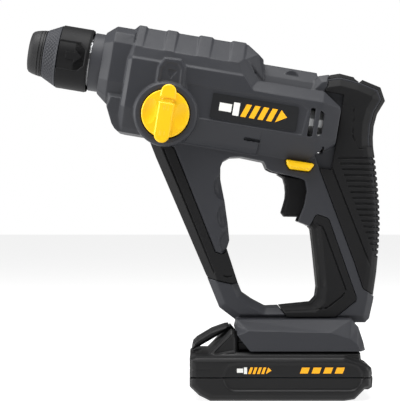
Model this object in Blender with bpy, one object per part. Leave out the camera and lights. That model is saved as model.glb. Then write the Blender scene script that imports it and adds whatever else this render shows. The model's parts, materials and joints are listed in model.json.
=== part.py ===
"""A cordless rotary hammer with a slide-on battery, modelled as its separate pieces.

Run it with: blender --background --python part.py

Frame: the nose points to -X, the rear grip to +X, the selector knob is on the -Y side, and
the bottom of the battery stands on Z = 0. The barrel leans nose-up, so its pieces hang on an
empty that carries the barrel's own axes: a runs rearwards from the nose and h runs upwards.
Sizes are in millimetres and become metres once, in as_object().
"""

import math

import bmesh
import bpy
from mathutils import Matrix, Vector

MM = 0.001
GAP = 0.3  # clearance between pieces that touch
SEGMENTS = 24  # sides of a turned piece
REACH = 60.0  # half the width of a cutter that passes right through

# Barrel line
NOSE = (-115.5, 226.3)  # X and Z of the nose face's centre
TILT = math.radians(9.5)
COS, SIN = math.cos(TILT), math.sin(TILT)
LAYSHAFT_DROP = 26.8  # intermediate shaft below the spindle
MOTOR_DROP = 14.3  # motor shaft below the spindle
SHAFT_BORE = 4.3  # bore of the pieces that sit on the intermediate shaft
HUB_RADIUS = 7.8  # ball that the wobble ring rocks on
MOTOR_BORE = 2.3  # bore of the pieces that sit on the motor shaft

# Gears: pitch radius is half the module times the teeth
SPINDLE_MODULE, SPINDLE_TEETH, LAY_PINION_TEETH = 0.8, 52, 15
MOTOR_MODULE, LAY_GEAR_TEETH, MOTOR_PINION_TEETH = 1.0, 18, 7

# Places along the barrel
SLEEVE_FRONT, SLEEVE_REAR, SLEEVE_RADIUS, SKIRT_BORE = 20.0, 40.4, 20.7, 19.9
NECK_FRONT, NECK_RADIUS = 47.0, 19.1  # its front starts behind the pulled sleeve
CAVITY_FRONT = 66.7
FLANGE_FRONT, FLANGE_REAR = 67.0, 70.5
SPINDLE_GEAR_FRONT, SPINDLE_GEAR_WIDTH = 74.0, 7.0
CLUTCH_CENTRE = 95.8
PISTON_FRONT = 100.0
CARRIER_FRONT, CARRIER_REAR = 103.5, 109.8
WOBBLE_CENTRE = 118.0
BULKHEAD_FRONT, BULKHEAD_REAR = 139.5, 143.0
CAN_FRONT, CAN_REAR, CAN_RADIUS = 150.0, 197.0, 18.5
FAN_BLADES = 9

# Housing widths, measured from the parting plane
BODY_HALF = 29.2
HANDLE_HALF = 17.3
CORE_HALF = 14.2
HANDLE_ROOM_HALF = 11.0
CAVITY_HALF = 26.0
FOOT_HALF = 34.0
PAD_DEPTH = 3.0  # thickness of the soft overmoulds

# Mode knob
KNOB_A, KNOB_H = 95.8, -27.7
KNOB_RADIUS, KNOB_TIP, KNOB_STEM = 15.4, 18.8, 7.0
BEZEL_RADIUS, BEZEL_FACE = 20.6, 33.2
KNOB_FACE = 38.0
BAR_HALF = 4.9
BUTTON_RADIUS, BUTTON_H = 3.0, 13.2

# Battery
BATTERY_HALF = 38.0
SPLIT_Z = 15.0
CELL_RADIUS, CELL_LENGTH, CELL_PITCH, CELL_COUNT = 9.1, 65.0, 19.0, 5
FIRST_CELL_X, CELL_Z = 12.0, 15.2

HOUSING_GREY = ("housing_plastic", (0.075, 0.077, 0.082), 0.55, 0.0)
SOFT_BLACK = ("soft_grip", (0.015, 0.015, 0.015), 0.8, 0.0)
BLACK_PLASTIC = ("black_plastic", (0.02, 0.021, 0.024), 0.45, 0.0)
YELLOW_PLASTIC = ("yellow_plastic", (0.95, 0.66, 0.01), 0.4, 0.0)
STEEL = ("steel", (0.45, 0.45, 0.46), 0.35, 1.0)
BRIGHT_STEEL = ("bright_steel", (0.6, 0.6, 0.6), 0.25, 1.0)
CAST_ALUMINIUM = ("cast_aluminium", (0.5, 0.5, 0.51), 0.5, 1.0)
COPPER = ("copper", (0.6, 0.27, 0.12), 0.35, 1.0)
RUBBER = ("rubber", (0.012, 0.012, 0.012), 0.85, 0.0)
WRAP_BLUE = ("cell_wrap", (0.03, 0.16, 0.33), 0.4, 0.0)
LABEL = ("label", (0.012, 0.012, 0.013), 0.4, 0.0)


# ---------------------------------------------------------------- outlines


def barrel(a, h):
    """World (x, z) of a point given along and above the barrel's axis."""
    return NOSE[0] + a * COS + h * SIN, NOSE[1] - a * SIN + h * COS


def grown(outline, distance):
    """The outline with every edge moved outwards by distance (inwards if negative)."""
    area = sum(x0 * z1 - x1 * z0 for (x0, z0), (x1, z1) in zip(outline, outline[1:] + outline[:1]))
    side = math.copysign(1.0, area)
    points = []
    for i, point in enumerate(outline):
        here = Vector(point)
        before = (here - Vector(outline[i - 1])).normalized()
        after = (Vector(outline[(i + 1) % len(outline)]) - here).normalized()
        outward = side * Vector((before.y, -before.x))
        normal = (outward + side * Vector((after.y, -after.x))).normalized()
        points.append(tuple(here + normal * distance / max(0.5, normal.dot(outward))))
    return points


def circle(radius, centre=(0.0, 0.0), count=SEGMENTS):
    turns = [math.tau * i / count for i in range(count)]
    return [(centre[0] + radius * math.cos(t), centre[1] + radius * math.sin(t)) for t in turns]


def gear_outline(module, teeth, phase=0.0):
    """Straight-flanked teeth with plenty of backlash, the first one turned to phase."""
    pitch = module * teeth / 2
    root, tip = pitch - 1.2 * module, pitch + 0.85 * module
    step = math.tau / teeth
    corners = ((-0.32, root), (-0.12, tip), (0.12, tip), (0.32, root))
    points = []
    for i in range(teeth):
        for share, radius in corners:
            angle = phase + (i + share) * step
            points.append((radius * math.cos(angle), radius * math.sin(angle)))
    return points


# ---------------------------------------------------------------- meshes and objects


def as_object(name, bm):
    """A closed bmesh in millimetres as an object in metres."""
    bmesh.ops.remove_doubles(bm, verts=bm.verts, dist=1e-4)
    bmesh.ops.recalc_face_normals(bm, faces=bm.faces)
    bmesh.ops.scale(bm, vec=(MM, MM, MM), verts=bm.verts)
    mesh = bpy.data.meshes.new(name)
    bm.to_mesh(mesh)
    bm.free()
    obj = bpy.data.objects.new(name, mesh)
    bpy.context.scene.collection.objects.link(obj)
    return obj


def prism(outline, low, high, chamfer=0.0, name="prism"):
    """An (x, z) outline extruded along Y, with both rims chamfered."""
    rings = [(low, 0.0), (high, 0.0)]
    if chamfer:
        rings = [(low, chamfer), (low + chamfer, 0.0), (high - chamfer, 0.0), (high, chamfer)]
    bm = bmesh.new()
    loops = []
    for y, inset in rings:
        points = grown(outline, -inset) if inset else outline
        loops.append([bm.verts.new((x, y, z)) for x, z in points])
    for lower, upper in zip(loops, loops[1:]):
        for i in range(len(outline)):
            j = (i + 1) % len(outline)
            bm.faces.new((lower[i], lower[j], upper[j], upper[i]))
    bm.faces.new(loops[0])
    bm.faces.new(loops[-1])
    return as_object(name, bm)


def ring_prism(outer, inner, start, length, name="ring"):
    """A (y, h) outline with a hole, extruded along the barrel from start."""
    bm = bmesh.new()
    edges = []
    for points in (outer, inner):
        verts = [bm.verts.new((start, y, h)) for y, h in points]
        edges += [bm.edges.new((v, verts[i - 1])) for i, v in enumerate(verts)]
    bmesh.ops.triangle_fill(bm, edges=edges, use_beauty=True)
    grown_up = bmesh.ops.extrude_face_region(bm, geom=list(bm.faces))
    moved = [g for g in grown_up["geom"] if isinstance(g, bmesh.types.BMVert)]
    bmesh.ops.translate(bm, vec=(length, 0, 0), verts=moved)
    return as_object(name, bm)


def slab(outline, start, end, name="slab"):
    """A (y, h) outline extruded along the barrel from start to end."""
    bm = bmesh.new()
    face = bm.faces.new([bm.verts.new((start, y, h)) for y, h in outline])
    grown_up = bmesh.ops.extrude_face_region(bm, geom=[face])
    moved = [g for g in grown_up["geom"] if isinstance(g, bmesh.types.BMVert)]
    bmesh.ops.translate(bm, vec=(end - start, 0, 0), verts=moved)
    return as_object(name, bm)


def turned(profile, name="turned", hollow=False, segments=SEGMENTS):
    """A profile of (a, radius) points spun about the X axis; a hollow one is a closed loop."""
    bm = bmesh.new()
    verts = [bm.verts.new((a, 0, r)) for a, r in profile]
    edges = [bm.edges.new(pair) for pair in zip(verts, verts[1:])]
    if hollow:
        edges.append(bm.edges.new((verts[-1], verts[0])))
    bmesh.ops.spin(
        bm, geom=verts + edges, axis=(1, 0, 0), cent=(0, 0, 0), steps=segments, angle=math.tau,
        use_merge=True,
    )
    bmesh.ops.remove_doubles(bm, verts=bm.verts, dist=1e-4)
    bmesh.ops.dissolve_degenerate(bm, edges=bm.edges, dist=1e-5)
    obj = as_object(name, bm)
    obj.data.shade_smooth()
    obj.data.set_sharp_from_angle(angle=math.radians(35))
    return obj


def rod(radius, start, end, name="rod", segments=16):
    return turned([(start, 0), (start, radius), (end, radius), (end, 0)], name, segments=segments)


def crosswise(radius, x, z, low, high, segments=16):
    """A round bar along Y."""
    return prism(circle(radius, (x, z), segments), low, high)


def block(x, y, z):
    """A box between three (low, high) pairs."""
    return prism([(x[0], z[0]), (x[1], z[0]), (x[1], z[1]), (x[0], z[1])], *y)


def boolean(operation, obj, *others):
    """Applies one Boolean of obj with each of the others, which it uses up."""
    for other in others:
        modifier = obj.modifiers.new(operation.lower(), "BOOLEAN")
        modifier.operation = operation
        modifier.solver = "EXACT"
        modifier.object = other
        bpy.context.view_layer.update()
        graph = bpy.context.evaluated_depsgraph_get()
        mesh = bpy.data.meshes.new_from_object(obj.evaluated_get(graph))
        obj.modifiers.clear()
        obj.data = mesh
        bpy.data.objects.remove(other)
    return obj


def joined(obj, *others):
    return boolean("UNION", obj, *others)


def cut(obj, *others):
    return boolean("DIFFERENCE", obj, *others)


def common(obj, *others):
    return boolean("INTERSECT", obj, *others)


def copied(obj):
    twin = obj.copy()
    twin.data = obj.data.copy()
    bpy.context.scene.collection.objects.link(twin)
    return twin


def halves(obj):
    """Splits a piece along the parting plane, with a gap, into its -Y and +Y halves."""
    everywhere = ((-200.0, 200.0), (-20.0, 300.0))
    left = common(copied(obj), block(everywhere[0], (-REACH, -GAP / 2), everywhere[1]))
    right = common(obj, block(everywhere[0], (GAP / 2, REACH), everywhere[1]))
    return left, right


def leaned(obj):
    """Moves a mesh made in the barrel's axes to world axes."""
    turn = Matrix.Rotation(TILT, 4, "Y")
    obj.data.transform(Matrix.Translation((NOSE[0] * MM, 0, NOSE[1] * MM)) @ turn)
    return obj


def moved(obj, x=0.0, y=0.0, z=0.0):
    obj.data.transform(Matrix.Translation((x * MM, y * MM, z * MM)))
    return obj


def material(look):
    name, colour, roughness, metallic = look
    found = bpy.data.materials.get(name)
    if found:
        return found
    made = bpy.data.materials.new(name)
    made.use_nodes = True
    shader = made.node_tree.nodes["Principled BSDF"]
    shader.inputs["Base Color"].default_value = (*colour, 1.0)
    shader.inputs["Roughness"].default_value = roughness
    shader.inputs["Metallic"].default_value = metallic
    made.diffuse_color = (*colour, 1.0)
    return made


def finished(obj, name, look, parent=None, at=(0.0, 0.0, 0.0)):
    """Names a piece, gives it its look and hangs it on its parent at a place in millimetres."""
    obj.name = name
    obj.data.name = name
    obj.data.materials.clear()
    obj.data.materials.append(material(look))
    obj.parent = parent
    obj.location = [value * MM for value in at]
    return obj


def empty(name, parent=None, at=(0.0, 0.0, 0.0), tilt=0.0):
    holder = bpy.data.objects.new(name, None)
    bpy.context.scene.collection.objects.link(holder)
    holder.parent = parent
    holder.location = [value * MM for value in at]
    holder.rotation_euler.y = tilt
    return holder


def coil(name, radius, wire, length, turns, look, parent, at):
    """A compression spring along its parent's X axis."""
    count = 10 * turns + 1
    curve = bpy.data.curves.new(name, "CURVE")
    curve.dimensions = "3D"
    curve.bevel_depth = wire * MM
    curve.bevel_resolution = 1
    curve.use_fill_caps = True
    spline = curve.splines.new("POLY")
    spline.points.add(count - 1)
    for i, point in enumerate(spline.points):
        angle = math.tau * turns * i / (count - 1)
        x = wire + (length - 2 * wire) * i / (count - 1)
        place = Vector((x, radius * math.cos(angle), radius * math.sin(angle))) * MM
        point.co = (*place, 1)
    spring = bpy.data.objects.new(name, curve)
    bpy.context.scene.collection.objects.link(spring)
    curve.materials.append(material(look))
    spring.parent = parent
    spring.location = [value * MM for value in at]
    return spring


# ---------------------------------------------------------------- housing

# The handle loop's outer outline, from the strut's top down its front, along the foot and up the rear
LOOP = [
    (-36.3, 166.5), (-32.2, 156.0), (0.5, 79.6), (9.1, 58.3), (21.0, 49.3), (104.1, 48.4),
    (106.8, 51.1), (109.4, 63.0), (112.0, 80.8), (113.7, 98.6), (114.4, 111.8), (114.0, 125.0),
    (113.0, 138.2), (111.4, 153.4), (109.9, 163.0), (109.7, 169.0), (110.3, 176.5), (112.4, 184.3),
    (117.7, 193.0), (114.7, 201.9), (101.0, 207.6), (88.0, 211.0), (74.0, 209.0), (60.0, 196.0),
    (-20.0, 190.0),
]
# The hand opening, with the trigger's bay at its rear
OPENING = [
    (9.8, 149.4), (9.8, 141.5), (12.6, 127.0), (14.6, 113.0), (15.7, 101.9), (14.0, 96.5),
    (21.0, 74.8), (24.0, 67.4), (31.0, 62.6), (39.4, 58.2), (50.0, 58.6), (69.2, 61.0),
    (72.4, 64.6), (73.3, 71.0), (70.5, 98.6), (69.2, 109.0), (66.5, 111.8), (60.2, 114.2),
    (64.2, 124.3), (66.0, 134.0), (64.8, 141.0), (60.9, 142.5), (43.4, 146.8), (40.1, 148.4),
    (38.0, 153.2), (23.0, 156.3), (16.0, 156.0), (11.5, 153.5),
]
REAR_PAD = [
    (80.0, 207.1), (79.3, 201.9), (77.4, 198.0), (87.1, 188.3), (87.7, 185.1), (84.5, 164.4),
    (83.2, 162.5), (70.9, 157.9), (72.9, 152.1), (90.3, 105.5), (96.8, 88.1), (102.6, 70.6),
    (110.2, 65.6), (112.0, 80.8), (113.7, 98.6), (114.4, 111.8), (114.0, 125.0), (113.0, 138.2),
    (111.4, 153.4), (109.9, 163.0), (109.7, 169.0), (110.3, 176.5), (112.4, 184.3),
    (117.7, 193.0), (114.7, 201.9), (101.0, 207.6), (88.0, 211.0), (81.5, 210.0),
]
FRONT_PAD = [
    (48.5, 58.6), (69.2, 61.0), (72.4, 64.6), (73.3, 71.0), (70.5, 98.6), (69.2, 109.0),
    (67.6, 110.7), (71.8, 118.1), (73.1, 118.5), (78.9, 116.5), (80.2, 115.2), (97.8, 65.3),
    (97.6, 63.0), (84.5, 52.4), (53.0, 52.4),
]
STRUT_PAD = [
    (-36.3, 166.5), (-32.2, 156.0), (0.5, 79.6), (1.8, 77.5), (16.7, 74.1), (21.0, 74.8),
    (14.0, 96.5), (13.0, 93.7), (10.9, 92.8), (6.3, 94.1), (-20.4, 161.4), (-22.5, 163.2),
]
FOOT = [
    (20.1, 51.2), (20.1, 47.0), (19.2, 43.3), (24.0, 36.3), (28.4, 31.4), (103.0, 31.4),
    (101.7, 36.8), (98.5, 46.5), (94.0, 51.2),
]
LEVER = [(52.3, 154.4), (69.9, 151.5), (70.3, 150.6), (67.0, 146.6), (54.5, 148.2), (52.6, 151.3)]
TRIGGER = [
    (46.5, 145.2), (51.0, 142.4), (52.7, 133.0), (51.3, 125.0), (49.7, 120.0), (51.6, 117.2),
    (72.0, 116.9), (72.0, 141.0), (64.0, 143.6),
]
TRIGGER_HALF, TRIGGER_TRAVEL = 9.3, 7.0
SWITCH = [(81.0, 148.0), (98.0, 148.0), (103.5, 121.0), (81.0, 121.0)]
SCREWS = [(-3.0, 150.0), (26.0, 55.6), (88.6, 100.0), barrel(172.0, 10.6)]
SCREW_BOSS, SCREW_HEAD, SCREW_SHANK = 4.4, 3.1, 1.5

BODY_PROFILE = [
    (57.0, -24.0), (57.0, -28.4), (61.9, -38.8), (66.6, -43.1), (100.0, -43.2), (150.0, -38.0),
    (150.0, 20.3), (140.5, 27.6), (69.0, 27.6), (66.5, 24.5), (60.0, 15.0),
]
BODY_SECTION = [
    (-11.0, 27.6), (-27.0, 13.0), (-28.3, 5.0), (-BODY_HALF, 4.2), (-BODY_HALF, -27.4),
    (-22.0, -40.0), (-19.0, -43.3), (19.0, -43.3), (22.0, -40.0), (BODY_HALF, -27.4),
    (BODY_HALF, 4.2), (28.3, 5.0), (27.0, 13.0), (11.0, 27.6),
]
RING_PROFILE = [
    (48.7, -19.6), (48.7, 18.6), (55.3, 24.6), (68.0, 24.6), (68.0, -26.0), (56.7, -26.0),
]
RING_SECTION = [
    (-11.0, 24.7), (-21.5, 20.0), (-25.0, 13.0), (-25.0, -12.0), (-21.0, -22.0), (-14.0, -26.2),
    (14.0, -26.2), (21.0, -22.0), (25.0, -12.0), (25.0, 13.0), (21.5, 20.0), (11.0, 24.7),
]
MOTOR_PROFILE = [
    (120.0, 3.8), (192.8, 3.8), (206.0, -4.0), (207.0, -8.0), (207.3, -28.0), (190.0, -42.0),
    (120.0, -42.0),
]
MOTOR_SECTION = [
    (-22.0, 3.9), (-28.2, -2.4), (-BODY_HALF, -4.0), (-BODY_HALF, -27.4), (-18.0, -42.1),
    (18.0, -42.1), (BODY_HALF, -27.4), (BODY_HALF, -4.0), (28.2, -2.4), (22.0, 3.9),
]
RAIL_PROFILE = [(138.0, 0.0), (138.0, 16.2), (188.5, 16.4), (200.0, 12.0), (205.0, 0.0)]
RAIL_SECTION = [(-16.2, 0.0), (-16.0, 4.6), (-14.2, 9.0), (-8.0, 16.5), (8.0, 16.5), (14.2, 9.0),
                (16.0, 4.6), (16.2, 0.0)]
CAVITY_PROFILE = [
    (CAVITY_FRONT, -40.4), (100.0, -40.4), (140.0, -37.4), (150.0, -35.4), (200.0, -35.4),
    (200.0, -2.8), (192.0, 1.4), (152.0, 1.4), (140.0, 24.6), (CAVITY_FRONT, 24.6),
]
CAVITY_SECTION = [
    (-9.5, 24.6), (-24.3, 11.4), (-25.6, 4.0), (-26.2, -27.0), (-19.5, -38.0), (-17.0, -40.4),
    (17.0, -40.4), (19.5, -38.0), (26.2, -27.0), (25.6, 4.0), (24.3, 11.4), (9.5, 24.6),
]
SHOULDER = [
    (-9.0, 17.8), (-18.5, 9.0), (-19.4, 1.4), (-25.6, -4.6), (-26.2, -27.0), (-19.5, -37.6),
    (19.5, -37.6), (26.2, -27.0), (25.6, -4.6), (19.4, 1.4), (18.5, 9.0), (9.0, 17.8),
]


def billet(profile, section):
    """A solid with one outline seen from the side and another seen from the nose."""
    side = prism(profile, -REACH, REACH)
    low = min(a for a, _ in profile) - 1.0
    high = max(a for a, _ in profile) + 1.0
    return common(side, slab(section, low, high))


def housing_solid():
    """The whole outer body, before it is hollowed and split."""
    body = billet(BODY_PROFILE, BODY_SECTION)
    # The big gear end slopes in to the slimmer motor end
    side = [(134.9, 40.0), (134.9, 13.0), (148.5, -3.6), (175.0, -3.6), (175.0, 40.0)]
    slope = prism(side, -REACH, REACH)
    wedge = common(slope, slab([(y * 1.3, h) for y, h in BODY_SECTION], 130.0, 180.0))
    saddle = [(130.0, 27.8), (140.5, 27.6), (155.8, 16.0), (157.0, -4.0), (130.0, -4.0)]
    body = cut(body, cut(wedge, prism(saddle, -22.0, 22.0)))
    body = joined(body, billet(RING_PROFILE, RING_SECTION), billet(MOTOR_PROFILE, MOTOR_SECTION))
    body = leaned(joined(body, billet(RAIL_PROFILE, RAIL_SECTION)))

    loop = cut(prism(LOOP, -HANDLE_HALF, HANDLE_HALF, 2.5), prism(OPENING, -REACH, REACH))
    for pad in (REAR_PAD, FRONT_PAD, STRUT_PAD):
        loop = cut(loop, prism(grown(pad, GAP), -REACH, REACH))
    loop = joined(loop, core_solid(0.0))
    foot = prism(FOOT, -FOOT_HALF, FOOT_HALF, 4.5)
    body = cut(body, prism(grown(REAR_PAD, GAP + 0.1), -REACH, REACH))
    return joined(body, loop, foot)


def core_solid(extra):
    """The handle loop's hard core under the soft pads, grown by extra all over."""
    half = CORE_HALF + extra
    core = prism(grown(LOOP, extra - PAD_DEPTH), -half, half)
    return cut(core, prism(grown(OPENING, PAD_DEPTH - extra), -REACH, REACH))


def hollow(body):
    """Takes the gear, motor, switch and battery spaces out of the body."""
    upper = billet(CAVITY_PROFILE, CAVITY_SECTION)
    rear = block((134.0, 210.0), (-REACH, REACH), (-REACH, REACH))
    shoulders = common(copied(rear), slab(SHOULDER, 133.9, 211.0))
    upper = joined(cut(upper, rear), common(shoulders, prism(CAVITY_PROFILE, -REACH, REACH)),
                   block((148.0, 200.0), (-13.4, 13.4), (-12.0, 5.4)))
    neck = turned([(40.0, 0), (40.0, NECK_RADIUS + GAP), (CAVITY_FRONT + 1, NECK_RADIUS + GAP),
                   (CAVITY_FRONT + 1, 0)], segments=SEGMENTS)
    body = cut(body, leaned(upper), leaned(neck))
    handle = [(72.5, 156.0), (78.0, 149.6), (104.0, 149.6), (106.0, 125.0), (105.5, 100.0),
              (101.0, 70.0), (88.0, 56.0), (80.0, 56.0), (80.0, 75.0), (77.5, 112.0), (75.0, 146.0)]
    body = cut(body, prism(handle, -HANDLE_ROOM_HALF, HANDLE_ROOM_HALF))
    strut = [(-22.0, 160.0), (4.0, 152.0), (4.0, 142.0), (9.0, 110.0), (3.0, 104.0)]
    body = cut(body, prism(strut, -HANDLE_ROOM_HALF, HANDLE_ROOM_HALF))
    travel = (TRIGGER_TRAVEL + 1.5) * COS
    bay_rear = 72.0 + travel
    bay = [(40.0, 150.0), (52.0, 146.6), (bay_rear, 143.0), (bay_rear, 114.6), (50.0, 114.6)]
    body = cut(body, prism(bay, -TRIGGER_HALF - GAP, TRIGGER_HALF + GAP))
    body = cut(body, prism(grown(LEVER, GAP), -REACH, REACH))
    arm_room = [(70.0, 152.9), (70.0, 149.0), (97.0, 149.0), (97.0, 152.9)]
    body = cut(body, prism(arm_room, -9.0, 9.0))
    bay_head = block((8.0, 96.0), (-27.0, 27.0), (36.2, 43.4))
    bay_neck = block((8.0, 96.0), (-22.0, 22.0), (28.0, 36.3))
    return cut(body, bay_head, bay_neck)


def vents():
    """The motor's air slots through both sides."""
    slots = []
    for low, high, bottom, top in ((187.4, 190.4, -26.6, -8.2), (193.6, 196.4, -25.0, -9.6)):
        slots.append(leaned(block((low, high), (-REACH, REACH), (bottom, top))))
    return slots


def build_housing():
    body = housing_solid()
    body = hollow(body)
    body = cut(body, *vents())
    for x, z in SCREWS:
        body = joined(body, crosswise(SCREW_BOSS, x, z, -12.0, 12.0, 12))
        body = cut(body, crosswise(SCREW_SHANK + 0.4, x, z, -13.0, REACH, 10),
                   crosswise(SCREW_HEAD + 0.4, x, z, 8.0, REACH, 12))
    left, right = halves(body)
    centre = barrel(KNOB_A, KNOB_H)
    bezel = cut(crosswise(BEZEL_RADIUS, *centre, -BEZEL_FACE, -20.0, 40),
                crosswise(KNOB_RADIUS + 2 * GAP, *centre, -REACH, -30.6, 40))
    room = leaned(prism(CAVITY_PROFILE, -CAVITY_HALF, CAVITY_HALF))
    left = joined(left, cut(bezel, room))
    left = cut(left, crosswise(KNOB_STEM + GAP, *centre, -REACH, -20.0, 24))
    finished(left, "housing_left", HOUSING_GREY)
    finished(right, "housing_right", HOUSING_GREY)
    for index, (x, z) in enumerate(SCREWS, 1):
        drive = block((x - 2.2, x + 2.2), (10.0, 12.0), (z - 0.5, z + 0.5))
        head = cut(crosswise(SCREW_HEAD, x, z, 8.4, 11.0, 12), drive)
        screw = joined(head, crosswise(SCREW_SHANK, x, z, -10.0, 8.6, 10))
        finished(screw, f"housing_screw_{index}", STEEL)


def build_pads():
    """Soft overmoulds, each made as a left and a right half around the handle's core."""
    for name, outline in (("rear_grip", REAR_PAD), ("front_grip", FRONT_PAD), ("strut_pad", STRUT_PAD)):
        pad = cut(prism(outline, -HANDLE_HALF - 0.4, HANDLE_HALF + 0.4, 2.2), core_solid(GAP))
        if name == "rear_grip":
            shell = [(-23, 4.5), (-30, -3), (-30, -45), (30, -45), (30, -3), (23, 4.5)]
            pad = cut(pad, leaned(slab(shell, 140.0, 207.6)))
        left, right = halves(pad)
        finished(left, f"{name}_left", SOFT_BLACK)
        finished(right, f"{name}_right", SOFT_BLACK)


def build_badges(line):
    """A name plate on each side of the motor end."""
    plate = [(106.0, -26.6), (106.0, -7.0), (182.0, -7.4), (183.0, -9.5), (182.0, -26.6)]
    for name, low in (("badge_left", -BODY_HALF - 1.1), ("badge_right", BODY_HALF + GAP)):
        outline = plate if name == "badge_right" else [(max(a, 118.6), h) for a, h in plate]
        finished(prism(outline, low, low + 0.8), name, LABEL, line)


# ---------------------------------------------------------------- chuck and percussion


def build_chuck(line):
    cap = turned([(0, 5.5), (0, 12.4), (1.0, 13.6), (10.0, 15.5), (10.0, 9.9), (3.0, 9.9), (3.0, 5.5)],
                 hollow=True)
    finished(cap, "dust_cap", RUBBER, line)
    ring = turned([(10.3, 9.9), (10.3, 15.6), (19.7, 20.3), (19.7, 9.9)], hollow=True)
    finished(ring, "chuck_ring", HOUSING_GREY, line)
    sleeve = turned(
        [(SLEEVE_FRONT, 12.2), (SLEEVE_FRONT, 20.1), (20.8, SLEEVE_RADIUS), (39.6, SLEEVE_RADIUS),
         (SLEEVE_REAR, 20.3), (SLEEVE_REAR, SKIRT_BORE), (31.0, SKIRT_BORE), (31.0, 12.2)],
        hollow=True,
    )
    finished(sleeve, "locking_sleeve", BLACK_PLASTIC, line)
    coil("sleeve_spring", 13.6, 0.8, 7.8, 3, STEEL, line, (31.3, 0, 0))
    ball = turned([(3 - 3 * math.cos(t), 3 * math.sin(t)) for t in
                   (math.pi * i / 8 for i in range(9))], segments=16)
    finished(moved(ball, -3.0), "locking_ball", BRIGHT_STEEL, line, (26.0, 0, 8.7))

    collar = turned([(NECK_FRONT, 14.6), (NECK_FRONT, NECK_RADIUS), (FLANGE_FRONT + 1, NECK_RADIUS),
                     (FLANGE_FRONT + 1, 14.6)], hollow=True)
    flange = [(-9, 23.6), (-22, 12), (-25, 3), (-25, -20), (-15, -35), (15, -35), (25, -20),
              (25, 3), (22, 12), (9, 23.6)]
    collar = joined(collar, slab(flange, FLANGE_FRONT, FLANGE_REAR))
    collar = cut(collar, rod(14.6, 40.0, 80.0, segments=SEGMENTS),
                 moved(rod(4.5, 60.0, 80.0), z=-LAYSHAFT_DROP))
    finished(collar, "neck_collar", HOUSING_GREY, line)
    seal = turned([(47.0, 9.9), (47.0, 14.3), (50.5, 14.3), (50.5, 9.9)], hollow=True)
    finished(seal, "oil_seal", RUBBER, line)
    front = turned([(52.0, 9.9), (52.0, 14.3), (59.0, 14.3), (59.0, 9.9)], hollow=True)
    finished(front, "spindle_front_bearing", BRIGHT_STEEL, line)
    rear = turned([(104.0, 15.3), (104.0, 19.7), (109.3, 19.7), (109.3, 15.3)], hollow=True)
    finished(rear, "spindle_rear_bearing", BRIGHT_STEEL, line)

    spindle = turned(
        [(3.4, 5.2), (3.4, 9.6), (39.5, 9.6), (39.5, 16.0), (41.0, 16.0), (41.0, 9.6), (72.5, 9.6),
         (72.5, 15.0), (110.0, 15.0), (110.0, 12.2), (74.5, 12.2), (74.5, 6.8), (50.0, 6.8), (50.0, 5.2)],
        hollow=True,
    )
    spindle = cut(spindle, ball_slot())
    finished(spindle, "spindle", STEEL, line)
    gear = ring_prism(gear_outline(SPINDLE_MODULE, SPINDLE_TEETH, math.radians(-90)),
                      circle(15.3, count=SEGMENTS), SPINDLE_GEAR_FRONT, SPINDLE_GEAR_WIDTH)
    finished(gear, "spindle_gear", STEEL, line)
    bolt = turned([(53.0, 0), (53.0, 4.8), (54.5, 6.4), (70.5, 6.4), (72.0, 4.8), (72.0, 0)],
                  segments=20)
    finished(bolt, "impact_bolt", BRIGHT_STEEL, line)
    striker = turned([(80.5, 0), (80.5, 6.0), (83.0, 6.0), (83.0, 11.8), (92.0, 11.8), (92.0, 0)])
    finished(striker, "striker", BRIGHT_STEEL, line)


def ball_slot():
    """The radial hole in the spindle that the locking ball sits in."""
    return prism([(22.6, 0.0), (29.4, 0.0), (29.4, 12.0), (22.6, 12.0)], -3.4, 3.4)


def build_piston(line):
    body = turned([(PISTON_FRONT, 0), (PISTON_FRONT, 11.8), (112.0, 11.8), (112.0, 0)])
    fork = [(111.0, -7.0), (124.0, -7.0), (124.0, 7.0), (121.0, 7.0), (121.0, -4.4), (115.0, -4.4),
            (115.0, 7.0), (111.0, 7.0)]
    for low, high in ((-8.6, -4.4), (4.4, 8.6)):
        body = joined(body, prism(fork, low, high))
    finished(body, "piston", CAST_ALUMINIUM, line)


# ---------------------------------------------------------------- intermediate shaft


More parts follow.
